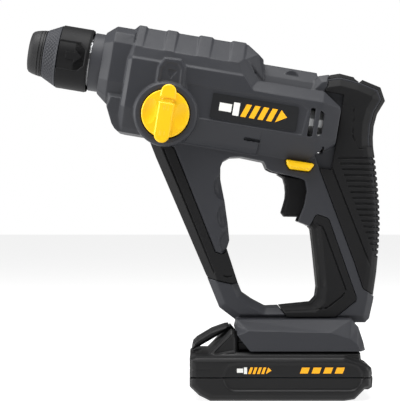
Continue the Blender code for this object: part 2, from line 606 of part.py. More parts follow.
def build_layshaft(line):
    shaft_line = empty("intermediate_axis", line, (0, 0, -LAYSHAFT_DROP))
    half_step = math.pi / LAY_PINION_TEETH
    pinion = gear_outline(SPINDLE_MODULE, LAY_PINION_TEETH, math.radians(90) + half_step)
    shaft = joined(rod(SHAFT_BORE - GAP, 68.0, 142.4, segments=20),
                   slab(pinion, SPINDLE_GEAR_FRONT - 0.4, SPINDLE_GEAR_FRONT + SPINDLE_GEAR_WIDTH + 0.4))
    finished(shaft, "intermediate_shaft", STEEL, shaft_line)
    gear = ring_prism(gear_outline(MOTOR_MODULE, LAY_GEAR_TEETH, math.radians(90)),
                      circle(SHAFT_BORE, count=20), 131.6, 6.8)
    finished(gear, "intermediate_gear", STEEL, shaft_line)
    turns = [math.radians(-50 + 12.5 * i) for i in range(9)]
    arc = [(HUB_RADIUS * math.sin(t), HUB_RADIUS * math.cos(t)) for t in turns]
    hub = turned([(arc[0][0], SHAFT_BORE)] + arc + [(arc[-1][0], SHAFT_BORE)], hollow=True)
    finished(hub, "wobble_hub", STEEL, shaft_line, (WOBBLE_CENTRE, 0, 0))
    clutch = turned([(-4.5, SHAFT_BORE), (-4.5, 8.0), (-1.5, 8.0), (-1.5, 6.4), (1.5, 6.4),
                     (1.5, 8.0), (4.5, 8.0), (4.5, SHAFT_BORE)], hollow=True)
    finished(clutch, "clutch_sleeve", STEEL, shaft_line, (CLUTCH_CENTRE, 0, 0))

    ring = turned([(-3.4, 8.2), (-3.4, 10.6), (3.4, 10.6), (3.4, 8.2)], hollow=True)
    finger = prism([(-2.1, 9.4), (2.1, 9.4), (2.1, 23.9), (-2.1, 23.9)], -2.1, 2.1)
    finished(joined(ring, finger), "wobble_ring", STEEL, shaft_line, (WOBBLE_CENTRE, 0, 0))
    pin = crosswise(2.4, 0.0, 0.0, -8.2, 8.2, 14)
    finished(pin, "swivel_pin", BRIGHT_STEEL, shaft_line, (WOBBLE_CENTRE, 0, LAYSHAFT_DROP))

    plate = cut(rod(10.6, -1.1, 1.1, segments=SEGMENTS), rod(6.8, -3.0, 3.0, segments=20),
                block((-3, 3), (-7.6, 20), (-20, 20)))
    grip = cut(block((-4.4, 4.4), (-16.5, -8.6), (-5.0, 5.4)),
               block((-1.9, 1.9), (-20.0, -12.0), (-1.5, 9.0)))
    fork = joined(plate, grip)
    finished(fork, "shift_fork", STEEL, shaft_line, (CLUTCH_CENTRE, 0, 0))


def build_gear_carrier(line):
    """The cast frame that holds the rear bearings: two plates on two side bars."""
    section = [(-8, 22.0), (-22, 9.5), (-24, 3), (-24.6, -26), (-17, -37.5), (17, -37.5), (24.6, -26),
               (24, 3), (22, 9.5), (8, 22.0)]
    low_section = [(-8, 16.8), (-17.6, 8.4), (-18.8, 0.8), (-24.6, -5.0), (-24.6, -26), (-19, -35.4),
                   (19, -35.4), (24.6, -26), (24.6, -5.0), (18.8, 0.8), (17.6, 8.4), (8, 16.8)]
    frame = slab(section, CARRIER_FRONT, CARRIER_REAR)
    frame = joined(frame, slab(low_section, BULKHEAD_FRONT, BULKHEAD_REAR))
    for low, high in ((-23.4, -20.6), (20.6, 23.4)):
        frame = joined(frame, block((105.0, 141.0), (low, high), (-18.0, -6.0)))
    frame = cut(frame, rod(20.0, 100.0, 120.0, segments=SEGMENTS),
                moved(rod(4.5, 100.0, 150.0), z=-LAYSHAFT_DROP),
                moved(rod(5.9, 130.0, 150.0), z=-MOTOR_DROP))
    finished(frame, "gear_carrier", CAST_ALUMINIUM, line)


# ---------------------------------------------------------------- motor


def build_motor(line):
    axis = empty("motor_axis", line, (0, 0, -MOTOR_DROP))
    can = turned([(CAN_FRONT, 6.0), (CAN_FRONT, CAN_RADIUS), (CAN_REAR, CAN_RADIUS), (CAN_REAR, 16.8),
                  (152.0, 16.8), (152.0, 6.0)], hollow=True)
    finished(can, "motor_can", STEEL, axis)
    armature = turned([(131.0, 0), (131.0, 1.5), (139.3, 1.5), (139.3, 2.0), (153.6, 2.0), (153.6, 10.8),
                       (157.0, 11.4), (157.0, 13.8), (179.0, 13.8), (179.0, 11.4), (182.6, 10.8),
                       (182.6, 2.0), (198.5, 2.0), (198.5, 0)])
    finished(armature, "armature", COPPER, axis)
    commutator = turned([(183.2, MOTOR_BORE), (183.2, 6.4), (191.4, 6.4), (191.4, MOTOR_BORE)],
                        hollow=True)
    finished(commutator, "commutator", COPPER, axis)
    fan = turned([(144.6, MOTOR_BORE), (144.6, 4.6), (147.7, 4.6), (147.7, 16.4), (149.3, 16.4),
                  (149.3, MOTOR_BORE)], hollow=True)
    for i in range(FAN_BLADES):
        blade = block((144.8, 148.2), (3.8, 15.8), (-0.6, 0.6))
        blade.data.transform(Matrix.Rotation(math.tau * i / FAN_BLADES, 4, "X"))
        fan = joined(fan, blade)
    finished(fan, "cooling_fan", BLACK_PLASTIC, axis)
    phase = math.radians(-90) + math.pi / MOTOR_PINION_TEETH
    pinion = ring_prism(gear_outline(MOTOR_MODULE, MOTOR_PINION_TEETH, phase),
                        circle(1.8, count=12), 131.3, 7.4)
    finished(pinion, "motor_pinion", STEEL, axis)
    front = turned([(139.9, MOTOR_BORE), (139.9, 5.6), (142.9, 5.6), (142.9, MOTOR_BORE)],
                   hollow=True, segments=20)
    finished(front, "motor_front_bearing", BRIGHT_STEEL, axis)
    rear = turned([(192.6, MOTOR_BORE), (192.6, 5.5), (196.0, 5.5), (196.0, MOTOR_BORE)],
                  hollow=True, segments=20)
    finished(rear, "motor_rear_bearing", BRIGHT_STEEL, axis)
    plate = turned([(192.4, 5.8), (192.4, 16.5), (196.4, 16.5), (196.4, 5.8)], hollow=True)
    for low, high in ((-14.0, -6.8), (6.8, 14.0)):
        plate = joined(plate, block((184.0, 193.0), (low, high), (-2.6, 2.6)))
    finished(plate, "brush_plate", BLACK_PLASTIC, axis)


# ---------------------------------------------------------------- controls


def build_knob(line):
    centre = empty("mode_knob_axis", line, (KNOB_A, 0, KNOB_H))
    disc = crosswise(KNOB_RADIUS, 0, 0, -34.6, -31.0, 36)
    stem = crosswise(KNOB_STEM, 0, 0, -32.0, -22.0, 20)
    turns = [math.pi * i / 6 for i in range(7)]
    tip = [(BAR_HALF * math.cos(t), KNOB_TIP - BAR_HALF + BAR_HALF * math.sin(t)) for t in turns]
    bar = prism(tip + [(-x, -z) for x, z in tip], -KNOB_FACE, -BEZEL_FACE - 0.4, 0.8)
    knob = joined(disc, stem, bar, crosswise(1.5, 0, 3.3, -23.0, -12.6, 10))
    button = circle(BUTTON_RADIUS, (0.0, BUTTON_H), 12)
    knob = cut(knob, prism(grown(button, GAP), -50.0, -34.4))
    finished(knob, "mode_knob", YELLOW_PLASTIC, centre)
    finished(prism(button, -KNOB_FACE, -36.1), "knob_lock_button", YELLOW_PLASTIC, centre)


BLADE_Y = 11.2  # contact blades, to each side of the parting plane


def build_controls():
    finished(prism(TRIGGER, -TRIGGER_HALF, TRIGGER_HALF, 1.0), "trigger", BLACK_PLASTIC)
    finished(prism(SWITCH, -9.6, 9.6), "switch_body", BLACK_PLASTIC)
    spring_line = empty("trigger_spring_axis", None, (72.4, 0, 131.0), TILT)
    coil("trigger_spring", 3.4, 0.5, 8.0, 4, STEEL, spring_line, (0, 0, 0))
    finished(prism(LEVER, -23.6, 23.6, 0.8), "direction_lever", YELLOW_PLASTIC)
    pivot = empty("reversing_arm_axis", None, (88.0, 0, 0))
    arm = prism([(-16.6, 149.8), (4.0, 149.8), (4.0, 152.0), (-16.6, 152.0)], -2.2, 2.2)
    finished(arm, "reversing_arm", BLACK_PLASTIC, pivot)
    block_body = joined(block((82.0, 94.0), (-17.0, 17.0), (34.0, 43.0)),
                        block((64.0, 83.0), (-BLADE_Y - 0.8, -BLADE_Y + 0.8), (36.8, 42.0)),
                        block((64.0, 83.0), (BLADE_Y - 0.8, BLADE_Y + 0.8), (36.8, 42.0)))
    finished(block_body, "terminal_block", BLACK_PLASTIC)


# ---------------------------------------------------------------- battery

BATTERY = [
    (-10.1, 27.2), (-10.1, 9.2), (-4.1, 3.5), (2.9, 0.0), (88.7, 0.0), (95.1, 1.0), (102.1, 8.0),
    (105.9, 8.6), (105.9, 20.0), (104.0, 22.6), (99.5, 25.1), (88.7, 28.9), (-6.0, 28.9),
]
BATTERY_ROOM = [
    (-7.3, 25.0), (-7.3, 10.0), (-3.0, 6.0), (3.5, 3.0), (88.0, 3.0), (93.5, 4.0), (100.5, 11.0),
    (103.0, 11.4), (103.0, 19.0), (98.5, 22.6), (88.0, 25.6), (24.0, 25.6), (6.0, 25.0),
]
RELEASE = [
    (-9.0, 30.6), (-8.0, 35.0), (-5.4, 37.6), (4.4, 43.4), (12.9, 46.4), (15.5, 46.6),
    (14.6, 43.6), (-3.5, 33.2),
]


def build_battery():
    body = prism(BATTERY, -BATTERY_HALF, BATTERY_HALF, 3.5)
    ramp = prism([(2.0, 28.0), (16.6, 44.6), (20.0, 40.6), (20.0, 28.0)], -33.0, 33.0)
    pocket = [(-13.0, 26.4), (-6.5, 26.4), (-1.0, 29.4), (18.0, 40.6), (26.0, 50.0), (-13.0, 50.0)]
    body = joined(body, ramp, block((8.0, 92.0), (-33.5, 33.5), (28.0, 30.8)))
    body = joined(body, block((21.0, 77.0), (-21.6, 21.6), (30.0, 37.0)),
                  block((21.0, 77.0), (-26.6, 26.6), (36.6, 43.0)))
    body = cut(body, prism(pocket, -15.6, 15.6))
    body = cut(body, prism(BATTERY_ROOM, -34.6, 34.6), block((24.0, 74.0), (-18.0, 18.0), (24.0, 40.0)))
    for y in (-BLADE_Y, BLADE_Y):
        body = cut(body, block((60.0, 80.0), (y - 1.4, y + 1.4), (35.0, 50.0)))
    below = block((-50.0, 150.0), (-REACH, REACH), (-10.0, SPLIT_Z - GAP / 2))
    above = block((-50.0, 150.0), (-REACH, REACH), (SPLIT_Z + GAP / 2, 80.0))
    lower = common(copied(body), below)
    upper = common(body, above)
    finished(lower, "battery_case_lower", BLACK_PLASTIC)
    finished(upper, "battery_case_upper", BLACK_PLASTIC)
    half = CELL_LENGTH / 2
    for i in range(CELL_COUNT):
        cell = crosswise(CELL_RADIUS, FIRST_CELL_X + i * CELL_PITCH, CELL_Z, -half, half, 24)
        finished(cell, f"battery_cell_{i + 1}", WRAP_BLUE)
    finished(prism(RELEASE, -14.8, 14.8, 1.0), "release_button", BLACK_PLASTIC)


def main():
    for obj in list(bpy.data.objects):
        bpy.data.objects.remove(obj)
    line = empty("barrel_axis", None, (NOSE[0], 0, NOSE[1]), TILT)
    build_housing()
    build_pads()
    build_badges(line)
    build_chuck(line)
    build_piston(line)
    build_layshaft(line)
    build_gear_carrier(line)
    build_motor(line)
    build_knob(line)
    build_controls()
    build_battery()
    bpy.context.view_layer.update()


main()
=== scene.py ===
"""The looks of a cordless rotary hammer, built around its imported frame.

Shapes are modelled in millimetres and become metres once, when a piece is settled on its body.
X runs to the rear, Y to the right-hand side and Z up. The barrel leans nose-up, so barrel parts
are modelled in its own axes, a rearwards from the nose and h upwards, and leaned afterwards.
"""

import json
import logging
import math
from collections.abc import Callable, Iterable, Sequence
from dataclasses import dataclass
from enum import Enum
from typing import Any

import bmesh
import bpy
from mathutils import Matrix, Vector


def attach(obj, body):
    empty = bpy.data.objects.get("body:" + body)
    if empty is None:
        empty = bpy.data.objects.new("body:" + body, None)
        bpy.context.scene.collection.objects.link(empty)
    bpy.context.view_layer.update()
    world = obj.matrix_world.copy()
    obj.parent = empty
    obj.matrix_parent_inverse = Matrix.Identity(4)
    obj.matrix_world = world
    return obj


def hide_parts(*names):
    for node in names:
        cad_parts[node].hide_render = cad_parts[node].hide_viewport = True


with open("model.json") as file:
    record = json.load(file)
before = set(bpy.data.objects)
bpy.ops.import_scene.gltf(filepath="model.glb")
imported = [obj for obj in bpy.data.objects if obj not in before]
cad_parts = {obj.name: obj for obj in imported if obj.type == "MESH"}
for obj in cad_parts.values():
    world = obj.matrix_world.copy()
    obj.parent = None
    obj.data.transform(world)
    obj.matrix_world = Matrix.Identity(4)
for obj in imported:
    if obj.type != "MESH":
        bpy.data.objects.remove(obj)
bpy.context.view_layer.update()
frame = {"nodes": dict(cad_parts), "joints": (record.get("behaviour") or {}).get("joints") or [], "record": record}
LOG = logging.getLogger("rotary_hammer")

MM = 0.001
FAR = 400.0  # reaches past the whole tool
THROUGH = 60.0  # reaches past the housing's sides

Point = tuple[float, float]
Outline = list[Point]


# ---------------------------------------------------------------- outlines


def grown(outline: Sequence[Point], distance: float) -> Outline:
    """Moves every edge of a closed outline outwards.

    Args:
        outline: The corners in order, either way round.
        distance: How far each edge moves out, or in if negative.

    Returns:
        The corners of the moved outline.
    """
    following = list(outline[1:]) + [outline[0]]
    area = sum(x0 * z1 - x1 * z0 for (x0, z0), (x1, z1) in zip(outline, following))
    side = math.copysign(1.0, area)
    points = []
    for i, corner in enumerate(outline):
        here = Vector(corner)
        before = (here - Vector(outline[i - 1])).normalized()
        after = (Vector(following[i]) - here).normalized()
        outward = side * Vector((before.y, -before.x))
        normal = (outward + side * Vector((after.y, -after.x))).normalized()
        points.append(tuple(here + normal * distance / max(0.5, normal.dot(outward))))
    return points


def rounded(outline: Sequence[Point], radius: float, steps: int = 4) -> Outline:
    """Replaces each corner of a closed outline by a curve.

    Args:
        outline: The corners in order.
        radius: How far from the corner the curve starts, at most.
        steps: Points on each curve less one.

    Returns:
        The outline with soft corners.
    """
    points = []
    for i, corner in enumerate(outline):
        here = Vector(corner)
        before = Vector(outline[i - 1]) - here
        after = Vector(outline[(i + 1) % len(outline)]) - here
        start = here + before.normalized() * min(radius, before.length * 0.45)
        end = here + after.normalized() * min(radius, after.length * 0.45)
        for step in range(steps + 1):
            t = step / steps
            points.append(tuple(start * (1 - t) ** 2 + here * 2 * t * (1 - t) + end * t * t))
    return points


def circle(radius: float, centre: Point = (0.0, 0.0), count: int = 64) -> Outline:
    """The corners of a round outline."""
    turns = [math.tau * i / count for i in range(count)]
    return [(centre[0] + radius * math.cos(t), centre[1] + radius * math.sin(t)) for t in turns]


def mirrored(half: Sequence[Point]) -> Outline:
    """A section whose +Y half is given from top to bottom."""
    return list(half) + [(-y, h) for y, h in reversed(half)]


def ribbon(path: Sequence[Point], width: float) -> Outline:
    """Widens an open path to a closed band.

    Args:
        path: The path's points in order.
        width: The band's width.

    Returns:
        The band's outline.
    """
    left, right = [], []
    for i, place in enumerate(path):
        here = Vector(place)
        before = Vector(path[max(0, i - 1)])
        after = Vector(path[min(len(path) - 1, i + 1)])
        along = (after - before).normalized()
        across = Vector((-along.y, along.x)) * width / 2
        left.append(tuple(here + across))
        right.append(tuple(here - across))
    return left + right[::-1]


def both(half: Sequence[Point]) -> list[Point]:
    """Rings (y, inset) from the outer face inwards, repeated for the other side."""
    return [(-y, inset) for y, inset in half] + list(reversed(half))


# ---------------------------------------------------------------- meshes


def as_shape(bm: bmesh.types.BMesh) -> bpy.types.Object:
    """Turns a bmesh into an object with its faces pointing out."""
    bmesh.ops.remove_doubles(bm, verts=bm.verts, dist=1e-4)
    bmesh.ops.recalc_face_normals(bm, faces=bm.faces)
    mesh = bpy.data.meshes.new("shape")
    bm.to_mesh(mesh)
    bm.free()
    shape = bpy.data.objects.new("shape", mesh)
    bpy.context.scene.collection.objects.link(shape)
    return shape


def loft(rings: Sequence[Sequence[Sequence[float]]]) -> bpy.types.Object:
    """Skins a row of closed rings and caps both ends.

    Args:
        rings: Closed loops of 3-D points, each with the same number of points.

    Returns:
        A closed solid.
    """
    bm = bmesh.new()
    loops = [[bm.verts.new(point) for point in ring] for ring in rings]
    for lower, upper in zip(loops, loops[1:]):
        for i in range(len(lower)):
            j = (i + 1) % len(lower)
            bm.faces.new((lower[i], lower[j], upper[j], upper[i]))
    bm.faces.new(loops[0])
    bm.faces.new(loops[-1])
    return as_shape(bm)


def layers(outlines: Sequence[tuple[float, Sequence[Point]]]) -> bpy.types.Object:
    """A solid along Y through matching (x, z) outlines, each at its own y."""
    return loft([[(x, y, z) for x, z in outline] for y, outline in outlines])


def prism(outline: Sequence[Point], rings: Sequence[Point]) -> bpy.types.Object:
    """An (x, z) outline along Y, moved in by each ring's (y, inset)."""
    return layers([(y, grown(outline, -inset) if inset else outline) for y, inset in rings])


def plate(outline: Sequence[Point], low: float, high: float) -> bpy.types.Object:
    """An (x, z) outline between two places along Y."""
    return prism(outline, ((low, 0.0), (high, 0.0)))


def slab(section: Sequence[Point], rings: Sequence[Point]) -> bpy.types.Object:
    """A (y, h) section along the barrel, moved in by each ring's (a, inset)."""
    loops = []
    for a, inset in rings:
        points = grown(section, -inset) if inset else section
        loops.append([(a, y, h) for y, h in points])
    return loft(loops)


def block(x: Point, y: Point, z: Point) -> bpy.types.Object:
    """A box between three (low, high) pairs."""
    return plate([(x[0], z[0]), (x[1], z[0]), (x[1], z[1]), (x[0], z[1])], *y)


def bar(radius: float, x: float, z: float, low: float, high: float) -> bpy.types.Object:
    """A round bar along Y."""
    return plate(circle(radius, (x, z), 48), low, high)


def turned(profile: Sequence[Point], segments: int = 96) -> bpy.types.Object:
    """Spins a closed profile of (a, radius) points about the barrel's axis."""
    rings = []
    for i in range(segments):
        angle = math.tau * i / segments
        rings.append([(a, r * math.sin(angle), r * math.cos(angle)) for a, r in profile])
    bm = bmesh.new()
    loops = [[bm.verts.new(point) for point in ring] for ring in rings]
    for here, there in zip(loops, loops[1:] + loops[:1]):
        for i in range(len(profile)):
            j = (i + 1) % len(profile)
            bm.faces.new((here[i], here[j], there[j], there[i]))
    return as_shape(bm)


def ellipsoid(centre: Sequence[float], radii: Sequence[float]) -> bpy.types.Object:
    """A smooth egg with three radii."""
    bm = bmesh.new()
    place = Matrix.Translation(centre) @ Matrix.Diagonal((*radii, 1.0))
    bmesh.ops.create_uvsphere(bm, u_segments=32, v_segments=20, radius=1.0, matrix=place)
    return as_shape(bm)


def baked(shape: bpy.types.Object) -> bpy.types.Object:
    """Makes the shape's modifiers part of its mesh."""
    bpy.context.view_layer.update()
    graph = bpy.context.evaluated_depsgraph_get()
    mesh = bpy.data.meshes.new_from_object(shape.evaluated_get(graph))
    shape.modifiers.clear()
    shape.data = mesh
    return shape


def boolean(operation: str, shape: bpy.types.Object, others: Iterable[bpy.types.Object],
            careful: bool = False) -> bpy.types.Object:
    """Applies one Boolean with each of the other shapes, which it uses up.

    Args:
        operation: UNION, DIFFERENCE or INTERSECT.
        shape: The solid to change.
        others: The solids to combine with it.
        careful: Whether faces that touch the shape's own faces are sorted out too.

    Returns:
        The changed shape.
    """
    for other in others:
        modifier = shape.modifiers.new("boolean", "BOOLEAN")
        modifier.operation = operation
        modifier.use_self = careful
        modifier.object = other
        baked(shape)
        bpy.data.objects.remove(other)
    return shape


def joined(shape: bpy.types.Object, *others: bpy.types.Object) -> bpy.types.Object:
    """The union of the shapes."""
    return boolean("UNION", shape, others)


def cut(shape: bpy.types.Object, *others: bpy.types.Object) -> bpy.types.Object:
    """The first shape without the others."""
    return boolean("DIFFERENCE", shape, others)


def common(shape: bpy.types.Object, *others: bpy.types.Object) -> bpy.types.Object:
    """What all the shapes share."""
    return boolean("INTERSECT", shape, others)


def copied(shape: bpy.types.Object) -> bpy.types.Object:
    """A twin with its own mesh."""
    twin = shape.copy()
    twin.data = shape.data.copy()
    bpy.context.scene.collection.objects.link(twin)
    return twin


def moved(shape: bpy.types.Object, x: float = 0.0, y: float = 0.0, z: float = 0.0) -> bpy.types.Object:
    """The shape, shifted."""
    shape.data.transform(Matrix.Translation((x, y, z)))
    return shape


def gathered(shapes: Sequence[bpy.types.Object]) -> bpy.types.Object:
    """Puts several shapes into one mesh without merging them."""
    bm = bmesh.new()
    for shape in shapes:
        bm.from_mesh(shape.data)
        bpy.data.objects.remove(shape)
    mesh = bpy.data.meshes.new("shape")
    bm.to_mesh(mesh)
    bm.free()
    made = bpy.data.objects.new("shape", mesh)
    bpy.context.scene.collection.objects.link(made)
    return made


def moulded(shape: bpy.types.Object, grain: float, rounds: int = 2, keep: float = 0.3) -> bpy.types.Object:
    """Gives a sharp solid the soft edges and fillets of a moulding.

    Args:
        shape: A closed solid.
        grain: The size of the skin's cells; edges end up about this round.
        rounds: How many times the skin is smoothed.
        keep: The share of the skin's triangles that stays.

    Returns:
        The shape with its new skin.
    """
    skin = shape.modifiers.new("skin", "REMESH")
    skin.mode = "VOXEL"
    skin.voxel_size = grain
    smooth = shape.modifiers.new("round", "SMOOTH")
    smooth.factor = 0.5
    smooth.iterations = rounds
    thin = shape.modifiers.new("thin", "DECIMATE")
    thin.ratio = keep
    baked(shape)
    shape.data.shade_smooth()
    return shape


# ---------------------------------------------------------------- finishes


def linear(code: str) -> tuple[float, float, float, float]:
    """Turns an sRGB hex colour into the linear numbers that shaders take.

    Args:
        code: Six hex digits after a hash.

    Returns:
        Red, green, blue and a full alpha.
    """
    shares = [int(code[i:i + 2], 16) / 255 for i in (1, 3, 5)]
    light = [v / 12.92 if v <= 0.04045 else ((v + 0.055) / 1.055) ** 2.4 for v in shares]
    return (*light, 1.0)


def add(tree: bpy.types.NodeTree, kind: str, inputs: dict[str | int, Any] | None = None,
        **settings: Any) -> bpy.types.Node:
    """Adds one shader node.

    Args:
        tree: The material's tree.
        kind: The node's type, without its ShaderNode prefix.
        inputs: Constants, or sockets to link, by the input's name or number.
        settings: The node's own settings.

    Returns:
        The new node.
    """
    made = tree.nodes.new("ShaderNode" + kind)
    for key, value in settings.items():
        setattr(made, key, value)
    for key, value in (inputs or {}).items():
        if isinstance(value, bpy.types.NodeSocket):
            tree.links.new(value, made.inputs[key])
        else:
            made.inputs[key].default_value = value
    return made


class Grain(Enum):
    """How the fine relief of a surface runs."""

    SPECKLE = "speckle"  # even in all directions
    TURNED = "turned"  # rings about the barrel, as a lathe leaves them
    WOUND = "wound"  # wires side by side
    CAST = "cast"  # coarse and shallow


@dataclass(frozen=True)
class Finish:
    """One surface: what it is made of, how rough it is, how it wears and how much painted shade darkens its
    hollows.

    Sizes are in millimetres on the real tool.
    """

    name: str
    slot: str
    colour: str
    roughness: float
    metallic: float = 0.0
    grain: Grain = Grain.SPECKLE
    grain_size: float = 0.6
    depth: float = 0.02
    mottle: float = 0.06
    patch: float = 18.0
    worn: str = "#8A8C90"
    wear: float = 0.25
    # How far the hollows are darkened towards black, as painted shade
    hollow_shade: float = 0.1
    coat: float = 0.0
    shine: float = 0.25

    def relief(self, tree: bpy.types.NodeTree, place: bpy.types.NodeSocket) -> bpy.types.NodeSocket:
        """The height pattern that the bump reads.

        Args:
            tree: The material's tree.
            place: Where each point is, in metres.

        Returns:
            A socket with heights from 0 to 1.
        """
        fine = 1.0 / (self.grain_size * MM)
        if self.grain is Grain.TURNED:
            stretch = add(tree, "Mapping", {"Vector": place, "Scale": (fine, fine / 12, fine / 12)})
            return add(tree, "TexNoise", {"Vector": stretch.outputs[0], "Scale": 1.0}).outputs[0]
        if self.grain is Grain.WOUND:
            wire = {"Vector": place, "Scale": fine / math.tau, "Distortion": 0.3}
            return add(tree, "TexWave", wire, bands_direction="X").outputs["Fac"]
        detail = 6.0 if self.grain is Grain.CAST else 3.0
        return add(tree, "TexNoise", {"Vector": place, "Scale": fine, "Detail": detail}).outputs[0]

    def material(self) -> bpy.types.Material:
        """Builds the material once and hands it out again afterwards."""
        found = bpy.data.materials.get(self.name)
        if found:
            return found
        made = bpy.data.materials.new(self.name)
        made.use_nodes = True
        tree = made.node_tree
        shader = tree.nodes["Principled BSDF"]
        place = add(tree, "TexCoord").outputs["Object"]
        patches = add(tree, "TexNoise", {"Vector": place, "Scale": 1.0 / (self.patch * MM), "Detail": 4.0})
        base = linear(self.colour)
        dark = (*(v * (1 - self.mottle) for v in base[:3]), 1.0)
        light = (*(min(1.0, v * (1 + self.mottle)) for v in base[:3]), 1.0)
        tone = add(tree, "Mix", {"Factor": patches.outputs[0], "A": dark, "B": light},
                   data_type="RGBA")
        sharp = add(tree, "NewGeometry").outputs["Pointiness"]
        # Handling polishes the ridges, and the hollows are darkened towards black as painted shade
        ridge = add(tree, "MapRange", {"Value": sharp, "From Min": 0.52, "From Max": 0.60,
                                       "To Min": 0.0, "To Max": self.wear})
        hollow = add(tree, "MapRange", {"Value": sharp, "From Min": 0.48, "From Max": 0.40,
                                        "To Min": 0.0, "To Max": self.hollow_shade})
        worn = add(tree, "Mix", {"Factor": ridge.outputs[0], "A": socket(tone), "B": linear(self.worn)},
                   data_type="RGBA")
        # Painted shade: the hollows are mixed towards near black
        hollow_shaded = add(tree, "Mix", {"Factor": hollow.outputs[0], "A": socket(worn),
                                   "B": (0.004, 0.004, 0.004, 1.0)}, data_type="RGBA")
        rough = add(tree, "MapRange", {"Value": patches.outputs[0], "From Min": 0.3, "From Max": 0.7,
                                       "To Min": self.roughness - 0.05,
                                       "To Max": self.roughness + 0.06})
        bump = add(tree, "Bump", {"Height": self.relief(tree, place), "Strength": 0.6,
                                  "Distance": self.depth * MM})
        tree.links.new(socket(hollow_shaded), shader.inputs["Base Color"])
        tree.links.new(rough.outputs[0], shader.inputs["Roughness"])
        tree.links.new(bump.outputs[0], shader.inputs["Normal"])
        shader.inputs["Metallic"].default_value = self.metallic
        shader.inputs["Coat Weight"].default_value = self.coat
        shader.inputs["Specular IOR Level"].default_value = 0.5 if self.metallic else self.shine
        return made


def socket(mixed: bpy.types.Node) -> bpy.types.NodeSocket:
    """The colour that a Mix node gives."""
    return next(s for s in mixed.outputs if s.type == "RGBA")


# Glass-filled nylon from a spark-eroded mould: a fine even speckle that scatters highlights
NYLON = Finish("glass_filled_nylon_spark_textured", "housing_plastic", "#2F3034", 0.5,
               grain_size=0.55, depth=0.03, worn="#545559", wear=0.2)
# Overmoulded rubber: almost no highlight, and painted shade darkening its grooves
RUBBER = Finish("soft_rubber_overmoulded", "soft_grip", "#121213", 0.62, grain_size=0.8, depth=0.04,
                worn="#303030", wear=0.35, hollow_shade=0.3, shine=0.2)
# Plain black nylon: a satin sheen with rubbed edges
BLACK_NYLON = Finish("black_nylon_moulded", "black_plastic", "#131314", 0.55, grain_size=0.5,
                     worn="#303132", wear=0.3, shine=0.15)
# Battery housing: a tougher, slightly glossier black
BATTERY_ABS = Finish("black_abs_moulded", "battery_plastic", "#141415", 0.45, grain_size=0.7,
                     depth=0.03, worn="#38383A", wear=0.3)
# Coloured controls: smooth mould, so a soft clear highlight
YELLOW_NYLON = Finish("yellow_nylon_smooth", "yellow_plastic", "#F0BE12", 0.34, grain_size=1.2,
                      depth=0.008, mottle=0.03, worn="#FFE873", wear=0.3, hollow_shade=0.0, coat=0.1)
# Oil-proof rubber of the dust cap and seal: darker and duller than the grip, with painted shade in its hollows
NITRILE = Finish("nitrile_rubber_moulded", "seal_rubber", "#1F1F20", 0.55, grain_size=0.5,
                 worn="#444444", wear=0.3, hollow_shade=0.25)
# Printed plastic film: flat, thin and slightly shiny
FILM = Finish("polycarbonate_film_printed", "badge_film", "#0E0E0F", 0.35, grain_size=1.5,
              depth=0.004, mottle=0.03, wear=0.05, shine=0.15)
FILM_WHITE = Finish("polycarbonate_film_white_print", "badge_film", "#E9E9E4", 0.35, grain_size=1.5,
                    depth=0.004, mottle=0.02, worn="#FFFFFF", wear=0.05, hollow_shade=0.0)
FILM_AMBER = Finish("polycarbonate_film_amber_print", "badge_film", "#FFB41A", 0.35, grain_size=1.5,
                    depth=0.004, mottle=0.03, worn="#FFD060", wear=0.05, hollow_shade=0.0)
PACK_WHITE = Finish("battery_white_print", "battery_plastic", "#E4E4E0", 0.4, grain_size=1.5,
                    depth=0.004, mottle=0.02, worn="#FFFFFF", wear=0.05, hollow_shade=0.0)
PACK_AMBER = Finish("battery_amber_print", "battery_plastic", "#FFAE14", 0.4, grain_size=1.5,
                    depth=0.004, mottle=0.03, worn="#FFD060", wear=0.05, hollow_shade=0.0)
# Machined steel in oil: fine lathe rings that stretch the highlight
GEAR_STEEL = Finish("steel_turned_oiled", "gear_steel", "#A9AAAC", 0.34, metallic=1.0,
                    grain=Grain.TURNED, grain_size=0.5, depth=0.012, worn="#D8D8D8")
# Ground hard steel: near mirror
GROUND_STEEL = Finish("steel_ground_hardened", "bright_steel", "#C6C7C9", 0.18, metallic=1.0,
                      grain=Grain.TURNED, grain_size=0.4, depth=0.004, worn="#E8E8E8")
# Drawn spring wire and plated screws: long fine scratches
WIRE_STEEL = Finish("steel_wire_drawn", "spring_steel", "#8F9094", 0.36, metallic=1.0,
                    grain_size=0.5, depth=0.01, worn="#C0C0C0")
# Die-cast aluminium: a pebbled grey skin, drawn coarser than the real 0.3 mm to show at all
CAST_METAL = Finish("aluminium_die_cast", "cast_aluminium", "#A8AAAC", 0.5, metallic=1.0,
                    grain=Grain.CAST, grain_size=1.0, depth=0.05, worn="#D5D5D5")
# Enamelled copper wire: bands of wires under a clear lacquer
WINDING = Finish("copper_wire_enamelled", "copper_winding", "#B8653A", 0.3, metallic=1.0,
                 grain=Grain.WOUND, grain_size=1.0, depth=0.12, worn="#D98A5C", coat=0.4)
# Shrunk sleeve over a steel can: a smooth skin with faint creases
CELL_SLEEVE = Finish("cell_sleeve_heat_shrunk", "cell_wrap", "#2F6F9E", 0.35, grain=Grain.CAST,
                     grain_size=4.0, depth=0.08, worn="#6FA3C8")
INNER_FINISHES = {f.slot: f for f in (
    NYLON, RUBBER, BLACK_NYLON, BATTERY_ABS, YELLOW_NYLON, NITRILE, FILM, GEAR_STEEL, GROUND_STEEL,
    WIRE_STEEL, CAST_METAL, WINDING, CELL_SLEEVE)}


# ---------------------------------------------------------------- places


